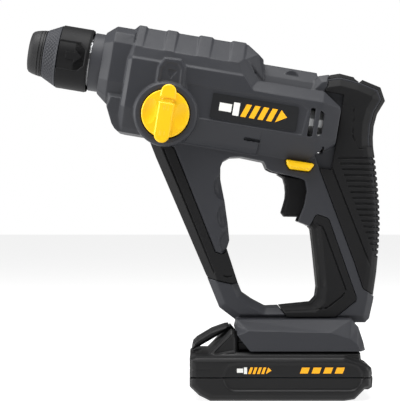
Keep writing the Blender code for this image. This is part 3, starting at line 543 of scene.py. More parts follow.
@dataclass(frozen=True)
class Barrel:
    """The leaning line that the nose, gears and motor share."""

    nose: Point
    tilt: float

    @classmethod
    def of_frame(cls) -> "Barrel":
        """Reads the line from the spindle's own joint."""
        spin = joint("spindle_spin")
        x, _, z = spin["pos_m"]
        axis = spin["axis"]
        return cls((x / MM, z / MM), math.atan2(-axis[2], axis[0]))

    def point(self, a: float, h: float) -> Point:
        """World (x, z) of a point a along and h above the barrel."""
        cos, sin = math.cos(self.tilt), math.sin(self.tilt)
        return self.nose[0] + a * cos + h * sin, self.nose[1] - a * sin + h * cos

    def lean(self, shape: bpy.types.Object) -> bpy.types.Object:
        """Moves a shape made in the barrel's axes to world axes."""
        turn = Matrix.Rotation(self.tilt, 4, "Y")
        shape.data.transform(Matrix.Translation((self.nose[0], 0.0, self.nose[1])) @ turn)
        return shape


def joint(name: str) -> dict[str, Any]:
    """The frame's joint of that name."""
    return next(j for j in frame["joints"] if j["name"] == name)


def settle(shape: bpy.types.Object, name: str, finish: Finish, body: str, *nodes: str) -> bpy.types.Object:
    """Names a finished shape, dresses it and hangs it on its body.

    Args:
        shape: The shape in millimetres.
        name: The piece's name.
        finish: What it is made of.
        body: The CAD body that carries it.
        nodes: The CAD nodes it stands for.

    Returns:
        The piece, in metres.
    """
    shape.data.transform(Matrix.Scale(MM, 4))
    shape.name = name
    shape.data.name = name
    shape.data.materials.clear()
    shape.data.materials.append(finish.material())
    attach(shape, body)
    if nodes:
        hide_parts(*nodes)
    LOG.info("%s: %d faces on %s", name, len(shape.data.polygons), body)
    return shape


def halves(shape: bpy.types.Object, gap: float = 0.15) -> tuple[bpy.types.Object, bpy.types.Object]:
    """Splits a shape at the parting plane into its -Y and +Y halves."""
    span = (-FAR, FAR)
    left = common(copied(shape), block(span, (-THROUGH, -gap), span))
    return left, common(shape, block(span, (gap, THROUGH), span))


# The handle loop's outer outline, and the hand opening with the trigger's bay
LOOP: Outline = [
    (-36.3, 166.5), (-32.2, 156.0), (0.5, 79.6), (9.1, 58.3), (21.0, 49.3), (104.1, 48.4),
    (106.8, 51.1), (109.4, 63.0), (112.0, 80.8), (113.7, 98.6), (114.4, 111.8), (114.0, 125.0),
    (113.0, 138.2), (111.4, 153.4), (109.9, 163.0), (109.7, 169.0), (110.3, 176.5), (112.4, 184.3),
    (117.7, 193.0), (114.7, 201.9), (101.0, 207.6), (88.0, 211.0), (74.0, 209.0), (60.0, 196.0),
    (-20.0, 190.0),
]
OPENING: Outline = [
    (9.8, 149.4), (9.8, 141.5), (12.6, 127.0), (14.6, 113.0), (15.7, 101.9), (14.0, 96.5),
    (21.0, 74.8), (24.0, 67.4), (31.0, 62.6), (39.4, 58.2), (50.0, 58.6), (69.2, 61.0),
    (72.4, 64.6), (73.3, 71.0), (70.5, 98.6), (69.2, 109.0), (66.5, 111.8), (60.2, 114.2),
    (64.2, 124.3), (66.0, 134.0), (64.8, 141.0), (60.9, 142.5), (43.4, 146.8), (40.1, 148.4),
    (38.0, 153.2), (23.0, 156.3), (16.0, 156.0), (11.5, 153.5),
]
REAR_PAD: Outline = [
    (80.0, 207.1), (79.3, 201.9), (77.4, 198.0), (87.1, 188.3), (87.7, 185.1), (84.5, 164.4),
    (83.2, 162.5), (70.9, 157.9), (72.9, 152.1), (90.3, 105.5), (96.8, 88.1), (102.6, 70.6),
    (110.2, 65.6), (112.0, 80.8), (113.7, 98.6), (114.4, 111.8), (114.0, 125.0), (113.0, 138.2),
    (111.4, 153.4), (109.9, 163.0), (109.7, 169.0), (110.3, 176.5), (112.4, 184.3),
    (117.7, 193.0), (114.7, 201.9), (101.0, 207.6), (88.0, 211.0), (81.5, 210.0),
]
# The silhouette of the grip's back, closed far in front of it
REAR_LINE: Outline = [
    (107.5, 20.0), (109.4, 63.0), (112.0, 80.8), (113.7, 98.6), (114.4, 111.8), (114.0, 125.0),
    (113.0, 138.2), (111.4, 153.4), (109.9, 163.0), (109.7, 169.0), (110.3, 176.5), (112.4, 184.3),
    (117.7, 193.0), (114.7, 201.9), (101.0, 207.6), (88.0, 211.0), (74.0, 209.0), (-90.0, 207.0),
    (-90.0, 20.0),
]
FRONT_PAD: Outline = [
    (48.5, 58.6), (69.2, 61.0), (72.4, 64.6), (73.3, 71.0), (70.5, 98.6), (69.2, 109.0),
    (67.6, 110.7), (71.8, 118.1), (73.1, 118.5), (78.9, 116.5), (80.2, 115.2), (97.8, 65.3),
    (97.6, 63.0), (84.5, 52.4), (53.0, 52.4),
]
STRUT_PAD: Outline = [
    (-36.3, 166.5), (-32.2, 156.0), (0.5, 79.6), (1.8, 77.5), (16.7, 74.1), (21.0, 74.8),
    (14.0, 96.5), (13.0, 93.7), (10.9, 92.8), (6.3, 94.1), (-20.4, 161.4), (-22.5, 163.2),
]
LEVER: Outline = [(52.3, 154.4), (69.9, 151.5), (70.3, 150.6), (67.0, 146.6), (54.5, 148.2), (52.6, 151.3)]
BARREL = Barrel.of_frame()
KNOB_CENTRE: Point = (95.8, -27.7)
FIT = 0.25


def core(extra: float = 0.0) -> bpy.types.Object:
    """The handle's hard core under the rubber, grown by extra all over."""
    half = 14.2 + extra
    hole = plate(grown(OPENING, 3.0 - extra), -THROUGH, THROUGH)
    return cut(plate(grown(LOOP, extra - 3.0), -half, half), hole)


# ---------------------------------------------------------------- housing


@dataclass
class Housing:
    """The two clamshell halves, from the collar ring to the battery foot."""

    half: float = 29.2
    handle_half: float = 17.3
    grain: float = 0.5
    rib_spans: Sequence[Point] = ((68.8, 74.5), (87.6, 95.0), (108.9, 118.0), (130.4, 140.0))
    screws: Sequence[Point] = ((-3.0, 150.0), (26.0, 55.6), (88.6, 100.0), BARREL.point(172.0, 10.6))

    def billet(self, profile: Sequence[Point], section: Sequence[Point],
               rings: Sequence[Point]) -> bpy.types.Object:
        """A solid with one outline from the side and another from the nose."""
        return common(slab(section, rings), plate(profile, -THROUGH, THROUGH))

    def gear_case(self) -> bpy.types.Object:
        """The wide faceted front with its ribs, ring and chin."""
        section = mirrored([(10.6, 26.9), (26.4, 12.6), (28.0, 5.8), (self.half, 4.4),
                            (self.half, -27.4), (22.0, -40.0), (19.0, -43.3)])
        profile = [(60.0, -50.0), (60.0, 30.0), (137.2, 30.0), (155.8, 16.0), (158.0, 16.0), (158.0, -50.0)]
        case = self.billet(profile, section, ((66.0, 3.0), (69.0, 0.0), (158.0, 0.0)))
        rib = mirrored([(11.0, 27.9), (26.5, 12.8), (20.0, 8.0)])
        for start, end in self.rib_spans:
            front = 3.0 if start < 70.0 else 0.5
            rings = ((start - 2.6, front + 0.3) if start < 70.0 else (start, 0.5),
                     (start + 0.5, 0.0), (end - 0.5, 0.0), (end, 0.5))
            case = joined(case, slab(rib, rings))
        side = [(118.9, 32.0), (148.6, -3.4), (200.0, -3.4), (200.0, 32.0)]
        edge = [(130.2, 32.0), (157.0, -3.4), (200.0, -3.4), (200.0, 32.0)]
        middle = [(150.0, 32.0), (156.5, -3.4), (200.0, -3.4), (200.0, 32.0)]
        slope = layers([(-THROUGH, side), (-27.6, side), (-22.0, edge), (-16.0, middle),
                        (16.0, middle), (22.0, edge), (27.6, side), (THROUGH, side)])
        case = cut(case, slope)
        ring = mirrored([(11.0, 24.7), (21.5, 20.0), (25.0, 13.0), (25.0, -12.0), (21.0, -22.0),
                         (14.0, -26.2)])
        case = joined(case, slab(ring, ((48.7, 5.3), (55.3, 0.0), (68.0, 0.0))))
        chin_side = [(57.0, -20.0), (57.0, -28.4), (61.9, -38.8), (64.4, -41.8), (66.6, -43.1),
                     (84.0, -43.1), (84.0, -20.0)]
        chin = common(prism(chin_side, both([(25.0, 2.6), (22.4, 0.0)])),
                      slab(mirrored([(24.5, -19.0), (24.5, -22.5), (19.5, -43.2)]),
                           ((50.0, 0.0), (90.0, 0.0))))
        return joined(case, chin)

    def motor_body(self, extra: float = 0.0) -> bpy.types.Object:
        """The slimmer rear without its rail, grown by extra all over."""
        section = mirrored([(22.0, 3.9), (28.2, -2.4), (self.half, -3.8), (self.half, -27.4), (18.0, -42.1)])
        profile = [(117.0, 6.0), (189.3, 6.0), (206.0, -4.0), (207.0, -8.0), (207.3, -28.0),
                   (190.0, -42.2), (117.0, -44.0)]
        rings = ((118.0, -extra), (194.5, -extra), (206.8 + extra, 5.0 - extra))
        return self.billet(grown(profile, extra), section, rings)

    def motor_case(self) -> bpy.types.Object:
        """The slimmer rear with the rail on top."""
        case = self.motor_body()
        rail_section = mirrored([(8.0, 16.5), (14.2, 9.0), (16.0, 4.6), (16.2, 0.0)])
        rail_side = [(138.0, 0.0), (138.0, 16.4), (188.6, 16.4), (189.2, 12.6), (193.2, 12.4),
                     (194.0, 15.8), (200.0, 12.0), (205.0, 0.0)]
        return joined(case, self.billet(rail_side, rail_section, ((138.0, 0.0), (206.0, 0.0))))

    def marks(self) -> list[bpy.types.Object]:
        """Cutters for the badge recesses, the air slots and the small slot."""
        recess = [(105.0, -5.6), (181.0, -6.2), (186.2, -9.6), (184.4, -27.0), (112.5, -27.2)]
        vents = ([(187.5, -8.4), (190.3, -7.9), (190.8, -26.4), (187.6, -26.9)],
                 [(193.7, -8.6), (196.3, -10.5), (196.5, -23.8), (193.7, -26.2)])
        cutters = [plate(vent, -THROUGH, THROUGH) for vent in vents]
        slit = [(148.5, -33.7), (159.6, -33.8), (157.9, -35.4), (147.5, -35.5)]
        cutters.append(plate(slit, -THROUGH, -22.0))
        for side in (-1.0, 1.0):
            floor, face = side * (self.half - 0.7), side * (self.half + 0.1)
            cutters.append(prism(recess, sorted(((floor, 0.8), (face, 0.0), (side * THROUGH, 0.0)))))
        return cutters

    def pointer(self) -> bpy.types.Object:
        """The raised frame above the knob, with a small engraved triangle."""
        frame_outline = [(86.4, -12.0), (86.2, 1.5), (89.6, 7.9), (100.2, 8.3), (103.6, 4.2), (104.8, -12.0)]
        inside = [(88.6, -14.0), (88.6, 0.5), (91.5, 5.0), (98.5, 5.0), (101.0, 2.0), (102.0, -14.0)]
        raised = prism(frame_outline, ((-31.0, 0.7), (-30.3, 0.0), (-26.0, 0.0)))
        raised = cut(raised, prism(inside, ((-40.0, -0.5), (-31.0, -0.5), (-30.1, 0.4))))
        return cut(raised, plate([(91.9, 1.3), (99.0, 1.0), (95.2, -5.4)], -40.0, -29.3))

    def bezel(self) -> bpy.types.Object:
        """The ring that the mode knob sits in."""
        x, z = KNOB_CENTRE
        ring = layers([(-33.2, circle(19.1, KNOB_CENTRE, 96)), (-31.8, circle(20.6, KNOB_CENTRE, 96)),
                       (-20.0, circle(20.6, KNOB_CENTRE, 96))])
        return cut(ring, bar(16.0, x, z, -THROUGH, -30.6))

    def handle(self) -> bpy.types.Object:
        """The loop, cut back where the rubber lies, on its core."""
        loop = prism(LOOP, both([(self.handle_half, 4.6), (12.8, 0.0)]))
        loop = cut(loop, plate(OPENING, -THROUGH, THROUGH))
        flare = [(14.6, 113.0), (15.7, 101.9), (14.0, 96.5), (21.0, 74.8), (24.0, 67.4),
                 (31.0, 62.6), (39.4, 58.2), (50.0, 58.6), (52.0, 100.0)]
        loop = cut(loop, prism(flare, ((-18.0, -5.0), (-12.8, 0.0), (12.8, 0.0), (18.0, -5.0))))
        for pad in (REAR_PAD, FRONT_PAD, STRUT_PAD):
            loop = cut(loop, plate(grown(pad, FIT), -THROUGH, THROUGH))
        rim = prism(STRUT_PAD, ((-18.0, -3.0), (-16.6, 0.0), (16.6, 0.0), (18.0, -3.0)))
        loop = cut(loop, rim)
        for x, z in ((12.6, 137.0), (14.6, 117.5), (16.4, 101.0)):
            for y in (-18.5, 18.5):
                loop = cut(loop, ellipsoid((x, y, z), (7.5, 6.0, 9.5)))
        return joined(loop, core())

    def foot(self) -> bpy.types.Object:
        """The wide shoe that the battery slides into."""
        middle = [(20.1, 51.2), (20.1, 47.0), (19.2, 43.3), (24.0, 36.3), (28.4, 31.4), (103.0, 31.4),
                  (101.7, 36.8), (98.5, 46.5), (94.0, 51.2)]
        side = [(27.2, 44.6), (24.5, 43.0), (20.5, 41.8), (24.6, 36.3), (28.6, 31.4), (99.6, 31.4),
                (97.0, 36.0), (92.2, 39.5), (79.4, 43.3)]
        return layers([(-34.0, side), (-24.5, middle), (24.5, middle), (34.0, side)])

    def rooms(self) -> list[bpy.types.Object]:
        """The hollows for the gears, motor, switch and battery."""
        profile = [(66.7, -40.4), (100.0, -40.4), (140.0, -37.4), (150.0, -35.4), (200.0, -35.4),
                   (200.0, -2.8), (192.0, 1.4), (152.0, 1.4), (140.0, 24.6), (66.7, 24.6)]
        wide = mirrored([(9.5, 24.6), (24.3, 11.4), (25.6, 4.0), (26.2, -27.0), (19.5, -38.0), (17.0, -40.4)])
        slim = mirrored([(9.0, 17.8), (18.5, 9.0), (19.4, 1.4), (25.6, -4.6), (26.2, -27.0), (19.5, -37.6)])
        inner = joined(self.billet(profile, wide, ((60.0, 0.0), (134.0, 0.0))),
                       self.billet(profile, slim, ((133.5, 0.0), (211.0, 0.0))),
                       block((148.0, 200.0), (-13.4, 13.4), (-12.0, 5.4)),
                       turned([(40.0, 0.0), (40.0, 19.4), (67.7, 19.4), (67.7, 0.0)], 64))
        handle = [(72.5, 156.0), (78.0, 149.6), (104.0, 149.6), (106.0, 125.0), (105.5, 100.0),
                  (101.0, 70.0), (88.0, 56.0), (80.0, 56.0), (80.0, 75.0), (77.5, 112.0), (75.0, 146.0)]
        strut = [(-22.0, 160.0), (4.0, 152.0), (4.0, 142.0), (9.0, 110.0), (3.0, 104.0)]
        bay = [(40.0, 150.0), (52.0, 146.6), (80.4, 143.0), (80.4, 114.6), (50.0, 114.6)]
        arm = [(70.0, 152.9), (70.0, 149.0), (97.0, 149.0), (97.0, 152.9)]
        return [BARREL.lean(inner), plate(handle, -11.0, 11.0), plate(strut, -11.0, 11.0),
                plate(bay, -9.6, 9.6), plate(arm, -9.0, 9.0),
                plate(grown(LEVER, 0.35), -THROUGH, THROUGH),
                block((8.0, 96.0), (-27.0, 27.0), (36.2, 43.4)),
                block((8.0, 96.0), (-22.0, 22.0), (28.0, 36.3))]

    def build(self) -> None:
        """Makes and settles both halves."""
        body = joined(self.gear_case(), self.motor_case())
        body = BARREL.lean(cut(body, *self.marks()))
        body = boolean("DIFFERENCE", body, [plate(grown(REAR_PAD, FIT), -THROUGH, THROUGH)], careful=True)
        body = joined(body, self.handle(), self.foot())
        body = cut(body, *self.rooms())
        for x, z in self.screws:
            body = joined(body, bar(4.4, x, z, -12.0, 12.0))
            body = cut(body, bar(1.9, x, z, -11.0, THROUGH), bar(3.5, x, z, 8.0, THROUGH))
        left, right = halves(body)
        room = BARREL.lean(block((66.7, 140.0), (-26.0, 26.0), (-40.4, 24.6)))
        left = joined(left, cut(BARREL.lean(joined(self.bezel(), self.pointer())), room))
        x, z = BARREL.point(*KNOB_CENTRE)
        left = cut(left, bar(7.3, x, z, -THROUGH, -20.0))
        settle(moulded(left, self.grain, keep=0.17), "housing_left_shell", NYLON, "housing", "housing_left")
        settle(moulded(right, self.grain, keep=0.17), "housing_right_shell", NYLON, "housing",
               "housing_right")


# ---------------------------------------------------------------- rubber


@dataclass
class Grips:
    """The soft overmoulds: rear grip, front grip and strut pad, each in two halves."""

    half: float = 17.6
    rib_pitch: float = 3.7
    rib_count: int = 18
    groove: float = 0.9
    grain: float = 0.4

    def waist(self, inset: float = 0.0) -> bpy.types.Object:
        """The rounded body of the grip below the head."""
        rings = [(self.half - inset, 8.2 + inset), (16.6 - inset, 5.0 + inset), (14.6 - inset, 2.6 + inset),
                 (12.0 - inset, 1.0 + inset), (8.5 - inset, 0.1 + inset)]
        return prism(REAR_LINE, both(rings))

    def head(self) -> bpy.types.Object:
        """The faceted back of the head."""
        return prism(REAR_LINE, both([(self.half, 8.5), (14.8, 4.2), (8.6, 0.0)]))

    def seam(self, path: Sequence[Point], depth: float = 1.2) -> list[bpy.types.Object]:
        """A groove along a path on both flat sides."""
        band = ribbon(path, self.groove)
        return [plate(band, -THROUGH, depth - self.half), plate(band, self.half - depth, THROUGH)]

    def ribs(self) -> bpy.types.Object:
        """The slots across the palm side."""
        slots = []
        for i in range(self.rib_count):
            z = 92.0 + self.rib_pitch * i
            slot = [(80.0, z), (130.0, z - 0.6), (130.0, z + 0.8), (80.0, z + 1.4)]
            slots.append(plate(slot, -THROUGH, THROUGH))
        palm = plate([(84.8, 157.5), (111.5, 86.0), (130.0, 86.0), (130.0, 157.5)], -THROUGH, THROUGH)
        return cut(common(gathered(slots), palm), self.waist(0.9))

    def rear(self) -> bpy.types.Object:
        """The rear grip with its head."""
        shape = plate(REAR_PAD, -self.half, self.half)
        low = common(copied(shape), self.waist(), block((0.0, FAR), (-THROUGH, THROUGH), (0.0, 163.0)))
        high = common(shape, self.head(), block((0.0, FAR), (-THROUGH, THROUGH), (162.0, FAR)))
        shape = joined(low, high)
        shape = cut(shape, core(FIT), self.ribs())
        spine = [(79.7, 155.5), (84.2, 143.8), (96.5, 112.5), (108.3, 82.7), (112.0, 78.0)]
        thumb = [(85.0, 190.5), (96.5, 188.5), (95.4, 170.0), (99.5, 161.6), (116.0, 161.0)]
        shape = cut(shape, *self.seam(spine))
        shape = cut(shape, *self.seam(thumb, 0.8))
        # The notch on top of the head
        shape = cut(shape, plate([(96.9, 212.0), (97.6, 207.4), (101.2, 204.4), (102.7, 206.8),
                                  (104.0, 212.0)],
                                 -THROUGH, THROUGH))
        shell = mirrored([(23.0, 4.5), (30.0, -3.0), (30.0, -45.0)])
        return cut(shape, BARREL.lean(slab(shell, ((140.0, 0.0), (207.6, 0.0)))))

    def front(self) -> bpy.types.Object:
        """The finger side below the trigger."""
        shape = plate(FRONT_PAD, -self.half, self.half)
        fingers = [(40.0, 60.5), (69.2, 61.0), (72.4, 64.6), (73.3, 71.0), (70.5, 98.6),
                   (69.2, 109.0), (67.6, 110.7), (40.0, 112.0)]
        rings = ((-18.0, -6.5), (-16.2, -3.4), (-13.5, -1.4), (-10.0, 0.0),
                 (10.0, 0.0), (13.5, -1.4), (16.2, -3.4), (18.0, -6.5))
        shape = cut(shape, prism(fingers, rings), core(FIT))
        path = [(71.2, 113.0), (75.7, 111.3), (77.6, 107.4), (91.3, 69.8), (89.0, 66.0), (78.9, 58.1),
                (67.0, 56.6), (52.0, 56.0)]
        return cut(shape, *self.seam(path))

    def strut(self) -> bpy.types.Object:
        """The knuckle side of the strut."""
        shape = plate(STRUT_PAD, -self.half, self.half)
        shape = common(shape, prism(LOOP, both([(self.half, 5.4), (12.2, 0.0)])))
        path = [(-27.5, 162.0), (-25.5, 157.0), (6.0, 80.5), (14.5, 78.3), (17.5, 79.0)]
        return cut(shape, core(FIT), *self.seam(path))

    def build(self) -> None:
        """Makes and settles the three pads."""
        pads = (("rear_grip", self.rear()), ("front_grip", self.front()), ("strut_pad", self.strut()))
        for name, shape in pads:
            for side, piece in zip(("left", "right"), halves(shape)):
                node = f"{name}_{side}"
                settle(moulded(piece, self.grain, keep=0.3), f"{node}_rubber", RUBBER, "housing", node)


# ---------------------------------------------------------------- chuck


@dataclass
class Chuck:
    """The dust cap, knurled ring, pull-back sleeve and neck."""

    sleeve_radius: float = 20.7
    panel_height: float = 9.5
    panel_depth: float = 0.8
    knurl_count: int = 40

    def sculpted(self, profile: Sequence[Point], relief: Callable[[float, float, float], float],
                 segments: int) -> bpy.types.Object:
        """Spins a profile whose points move out by a relief.

        Args:
            profile: Closed (a, radius) points.
            relief: Gives the shift from (a, radius, angle), the angle running from the top.
            segments: Steps round the axis.

        Returns:
            A closed solid in the barrel's axes.
        """
        shape = turned(profile, segments)
        for vertex in shape.data.vertices:
            a, y, h = vertex.co
            radius = math.hypot(y, h)
            shift = relief(a, radius, math.atan2(y, h))
            if shift and radius:
                vertex.co = (a, y * (1 + shift / radius), h * (1 + shift / radius))
        return shape

    def knurl(self, a: float, radius: float, angle: float) -> float:
        """Diamonds on the cone, shallower towards its ends."""
        if radius < 12.0 or not 10.9 < a < 19.2:
            return 0.0
        turns = angle / math.tau * self.knurl_count
        drift = a / 2.2
        ridges = min(abs((turns + drift) % 1.0 - 0.5), abs((turns - drift) % 1.0 - 0.5)) * 2.0
        return -0.35 * max(0.0, 1.0 - ridges * 2.2) * min(1.0, (a - 10.9) / 0.8, (19.2 - a) / 0.8)

    def panel(self, a: float, radius: float, angle: float) -> float:
        """The sunk thumb panels on both sides, each with a raised arrow."""
        if radius < 20.1 or a > 39.4:
            return 0.0
        y, h = abs(radius * math.sin(angle)), abs(radius * math.cos(angle))
        if y < 10.0:
            return 0.0
        edge = self.panel_height - max(0.0, a - 34.0)
        depth = self.panel_depth * min(1.0, max(0.0, (edge - h) / 0.5)) * min(1.0, max(0.0, (38.2 - a) / 0.5))
        head = 31.0 <= a <= 36.0 and h <= (36.0 - a) * 0.9
        shaft = 25.5 <= a <= 31.0 and h <= 2.2
        return -depth + (0.55 if head or shaft else 0.0)

    def build(self) -> None:
        """Makes and settles the chuck's outside."""
        nose = [(0.0, 5.5), (0.0, 10.9), (0.35, 12.3), (1.2, 13.35), (3.4, 14.25), (6.6, 14.95), (6.8, 14.55),
                (7.1, 14.55), (7.3, 15.1), (8.6, 15.25), (8.8, 14.8), (9.1, 14.8), (9.3, 15.3), (9.9, 15.4),
                (10.0, 15.0), (10.0, 9.9), (3.0, 9.9), (3.0, 5.5), (2.0, 5.2), (0.4, 5.2)]
        neck = [(41.4, 14.8), (41.4, 18.8), (41.7, 19.1), (68.0, 19.1), (68.0, 14.8)]
        flange = mirrored([(9.0, 23.6), (22.0, 12.0), (25.0, 3.0), (25.0, -20.0), (15.0, -35.0)])
        bore, shaft_hole = (turned([(60.0, 0.0), (60.0, radius), (80.0, radius), (80.0, 0.0)])
                            for radius in (14.8, 4.5))
        collar = cut(slab(flange, ((67.0, 0.0), (70.5, 0.0))), bore, moved(shaft_hole, z=-26.8))
        settle(BARREL.lean(gathered([smooth(turned(neck, 128)), collar])), "neck_collar_turned", NYLON,
               "housing", "neck_collar")
        settle(BARREL.lean(smooth(turned(nose, 128))), "dust_cap_rubber", NITRILE, "spindle", "dust_cap")
        cone = [(10.3 + 0.4 * i, 15.6 + (4.7 / 9.4) * 0.4 * i) for i in range(24)]
        ring = [(10.3, 9.9), (10.3, 15.2)] + cone[1:] + [(19.7, 20.0), (19.7, 9.9)]
        settle(BARREL.lean(smooth(self.sculpted(ring, self.knurl, 640), 50)), "chuck_ring_knurled", NYLON,
               "spindle", "chuck_ring")
        outer = [(20.4 + 0.4 * i, self.sleeve_radius) for i in range(48)]
        inner = [(39.9, 20.3), (40.4, 20.2), (40.4, 19.9), (31.0, 19.9), (31.0, 12.2)]
        profile = [(20.0, 12.2), (20.0, 20.2)] + outer + inner
        settle(BARREL.lean(smooth(self.sculpted(profile, self.panel, 480), 40)), "locking_sleeve_moulded",
               BLACK_NYLON, "locking_sleeve", "locking_sleeve")


def smooth(shape: bpy.types.Object, angle: float = 35.0) -> bpy.types.Object:
    """Shades a shape smooth and keeps its edges over an angle sharp."""
    shape.data.shade_smooth()
    shape.data.set_sharp_from_angle(angle=math.radians(angle))
    return shape


# ---------------------------------------------------------------- controls


@dataclass
class ModeKnob:
    """The yellow selector with a finger bar between two scoops."""

    radius: float = 15.4
    bar_half: float = 4.9
    tip: float = 18.8
    face: float = 38.0

    def build(self) -> None:
        """Makes and settles the knob and its lock button."""
        x, z = BARREL.point(*KNOB_CENTRE)
        disc = layers([(-34.9, circle(14.8, KNOB_CENTRE, 96)), (-34.3, circle(self.radius, KNOB_CENTRE, 96)),
                       (-31.0, circle(self.radius, KNOB_CENTRE, 96))])
        a, h = KNOB_CENTRE
        for side in (-1.0, 1.0):
            disc = cut(disc, ellipsoid((a + side * 10.0, -38.0, h), (6.5, 4.3, 12.0)))
        turns = [math.pi * i / 12 for i in range(13)]
        low = [(a - self.bar_half * math.cos(t), h - self.tip + self.bar_half * (1 - math.sin(t)))
               for t in turns]
        finger = prism(low + [(a + self.bar_half, h + 7.0), (a - self.bar_half, h + 7.0)],
                       ((-self.face, 0.7), (-37.3, 0.0), (-32.6, 0.0)))
        neck = block((a - 3.4, a + 3.4), (-36.6, -32.6), (h + 5.0, h + 12.0))
        top = [(a + self.bar_half * math.cos(t), h + self.tip - self.bar_half + self.bar_half * math.sin(t))
               for t in turns]
        ledge = prism(top + [(a - self.bar_half, h + 9.8), (a + self.bar_half, h + 9.8)],
                      ((-35.4, 0.0), (-33.4, 0.0)))
        knob = joined(disc, finger, neck, ledge)
        button = top + [(a - self.bar_half, h + 9.9), (a + self.bar_half, h + 9.9)]
        knob = cut(knob, plate(grown(button, 0.35), -THROUGH, -35.2))
        stem = bar(7.0, a, h, -32.0, -22.0)
        pin = bar(1.5, a, h + 3.3, -23.0, -12.6)
        marks = [block((a + x - 0.25, a + x + 0.25), (-38.0, -37.6), (h + z - 1.6, h + z + 1.6))
                 for z in (3.6, -12.8) for x in (-1.6, -0.6, 1.4)]
        knob = moulded(joined(knob, stem, pin), 0.25, rounds=3, keep=0.25)
        settle(BARREL.lean(gathered([knob, *marks])), "mode_knob_moulded", YELLOW_NYLON, "mode_knob",
               "mode_knob")
        cap = prism(button, ((-self.face, 0.8), (-37.3, 0.0), (-36.7, 0.0)))
        cap = moulded(cap, 0.15, keep=0.3)
        settle(BARREL.lean(cap), "knob_lock_button_moulded", YELLOW_NYLON, "knob_lock_button",
               "knob_lock_button")
        LOG.info("mode knob centred on %.1f, %.1f", x, z)


@dataclass
class Controls:
    """The trigger and the direction lever."""

    trigger_half: float = 9.2

    def trigger(self) -> bpy.types.Object:
        """A finger scoop with a rounded front."""
        outline = [(46.5, 145.2), (51.0, 142.4), (52.3, 137.8), (52.7, 133.0), (52.4, 129.0),
                   (51.3, 125.0), (49.7, 119.8), (51.6, 117.2), (72.0, 116.9), (72.0, 141.0),
                   (64.0, 143.6)]
        rings = [(self.trigger_half, 2.2), (8.5, 1.2), (7.2, 0.4), (5.4, 0.0)]
        return prism(outline, both(rings))

    def lever(self) -> bpy.types.Object:
        """A bar through the housing with a chamfered pad at each end."""
        outline = rounded([(52.3, 154.4), (69.6, 151.7), (70.3, 150.6), (67.0, 146.7), (54.5, 148.3),
                           (52.6, 151.3)], 0.7)
        return prism(outline, both([(23.6, 1.7), (21.9, 0.0)]))

    def build(self) -> None:
        """Makes and settles both controls."""
        settle(moulded(self.trigger(), 0.3, keep=0.3), "trigger_moulded", BLACK_NYLON, "trigger", "trigger")
        settle(moulded(self.lever(), 0.25, rounds=1, keep=0.3), "direction_lever_moulded", YELLOW_NYLON,
               "direction_lever", "direction_lever")


# ---------------------------------------------------------------- badges


@dataclass(frozen=True)
class Pictogram:
    """A generic drill bit drawn as thin raised shapes."""

    shank: Finish
    flutes: Finish
    size: float = 1.0

    def shapes(self, a: float, h: float) -> tuple[list[Outline], list[Outline]]:
        """The shank's and the flutes' outlines, with (a, h) the middle of the tail."""
        s = self.size
        shank = [[(a, h - 2.6 * s), (a + 8 * s, h - 2.6 * s), (a + 8 * s, h + 2.6 * s), (a, h + 2.6 * s)],
                 [(a + 9 * s, h - 4.2 * s), (a + 13 * s, h - 4.2 * s), (a + 13 * s, h + 4.2 * s),
                  (a + 9 * s, h + 4.2 * s)]]
        flutes = []
        for i in range(4):
            left = a + (14.2 + 5.6 * i) * s
            flutes.append([(left, h - 4.2 * s), (left + 3.4 * s, h - 4.2 * s), (left + 6.4 * s, h + 4.2 * s),
                           (left + 3.0 * s, h + 4.2 * s)])
        flutes.append([(a + 36.8 * s, h - 4.2 * s), (a + 44.0 * s, h), (a + 39.8 * s, h + 4.2 * s)])
        return shank, flutes


@dataclass
class Badges:
    """The film badges on both sides of the motor case."""

    face: float = 29.3

    def build(self) -> None:
        """Makes and settles both badges with their printed shapes."""
        sign = Pictogram(FILM_WHITE, FILM_AMBER)
        outline = rounded([(123.8, -25.1), (123.8, -9.1), (179.5, -9.2), (179.9, -25.0)], 0.8)
        for side, name in ((-1.0, "badge_left"), (1.0, "badge_right")):
            low, high = sorted((side * (self.face - 0.7), side * self.face))
            film = plate(outline, low, high)
            settle(BARREL.lean(film), f"{name}_film", FILM, "housing", name)
            shank, flutes = sign.shapes(129.0, -17.1)
            for kind, shapes, finish in (("shank", shank, sign.shank), ("flutes", flutes, sign.flutes)):
                low, high = sorted((side * self.face, side * (self.face + 0.12)))
                drawn = gathered([plate(outline, low, high) for outline in shapes])
                settle(BARREL.lean(drawn), f"{name}_{kind}", finish, "housing")


# ---------------------------------------------------------------- battery


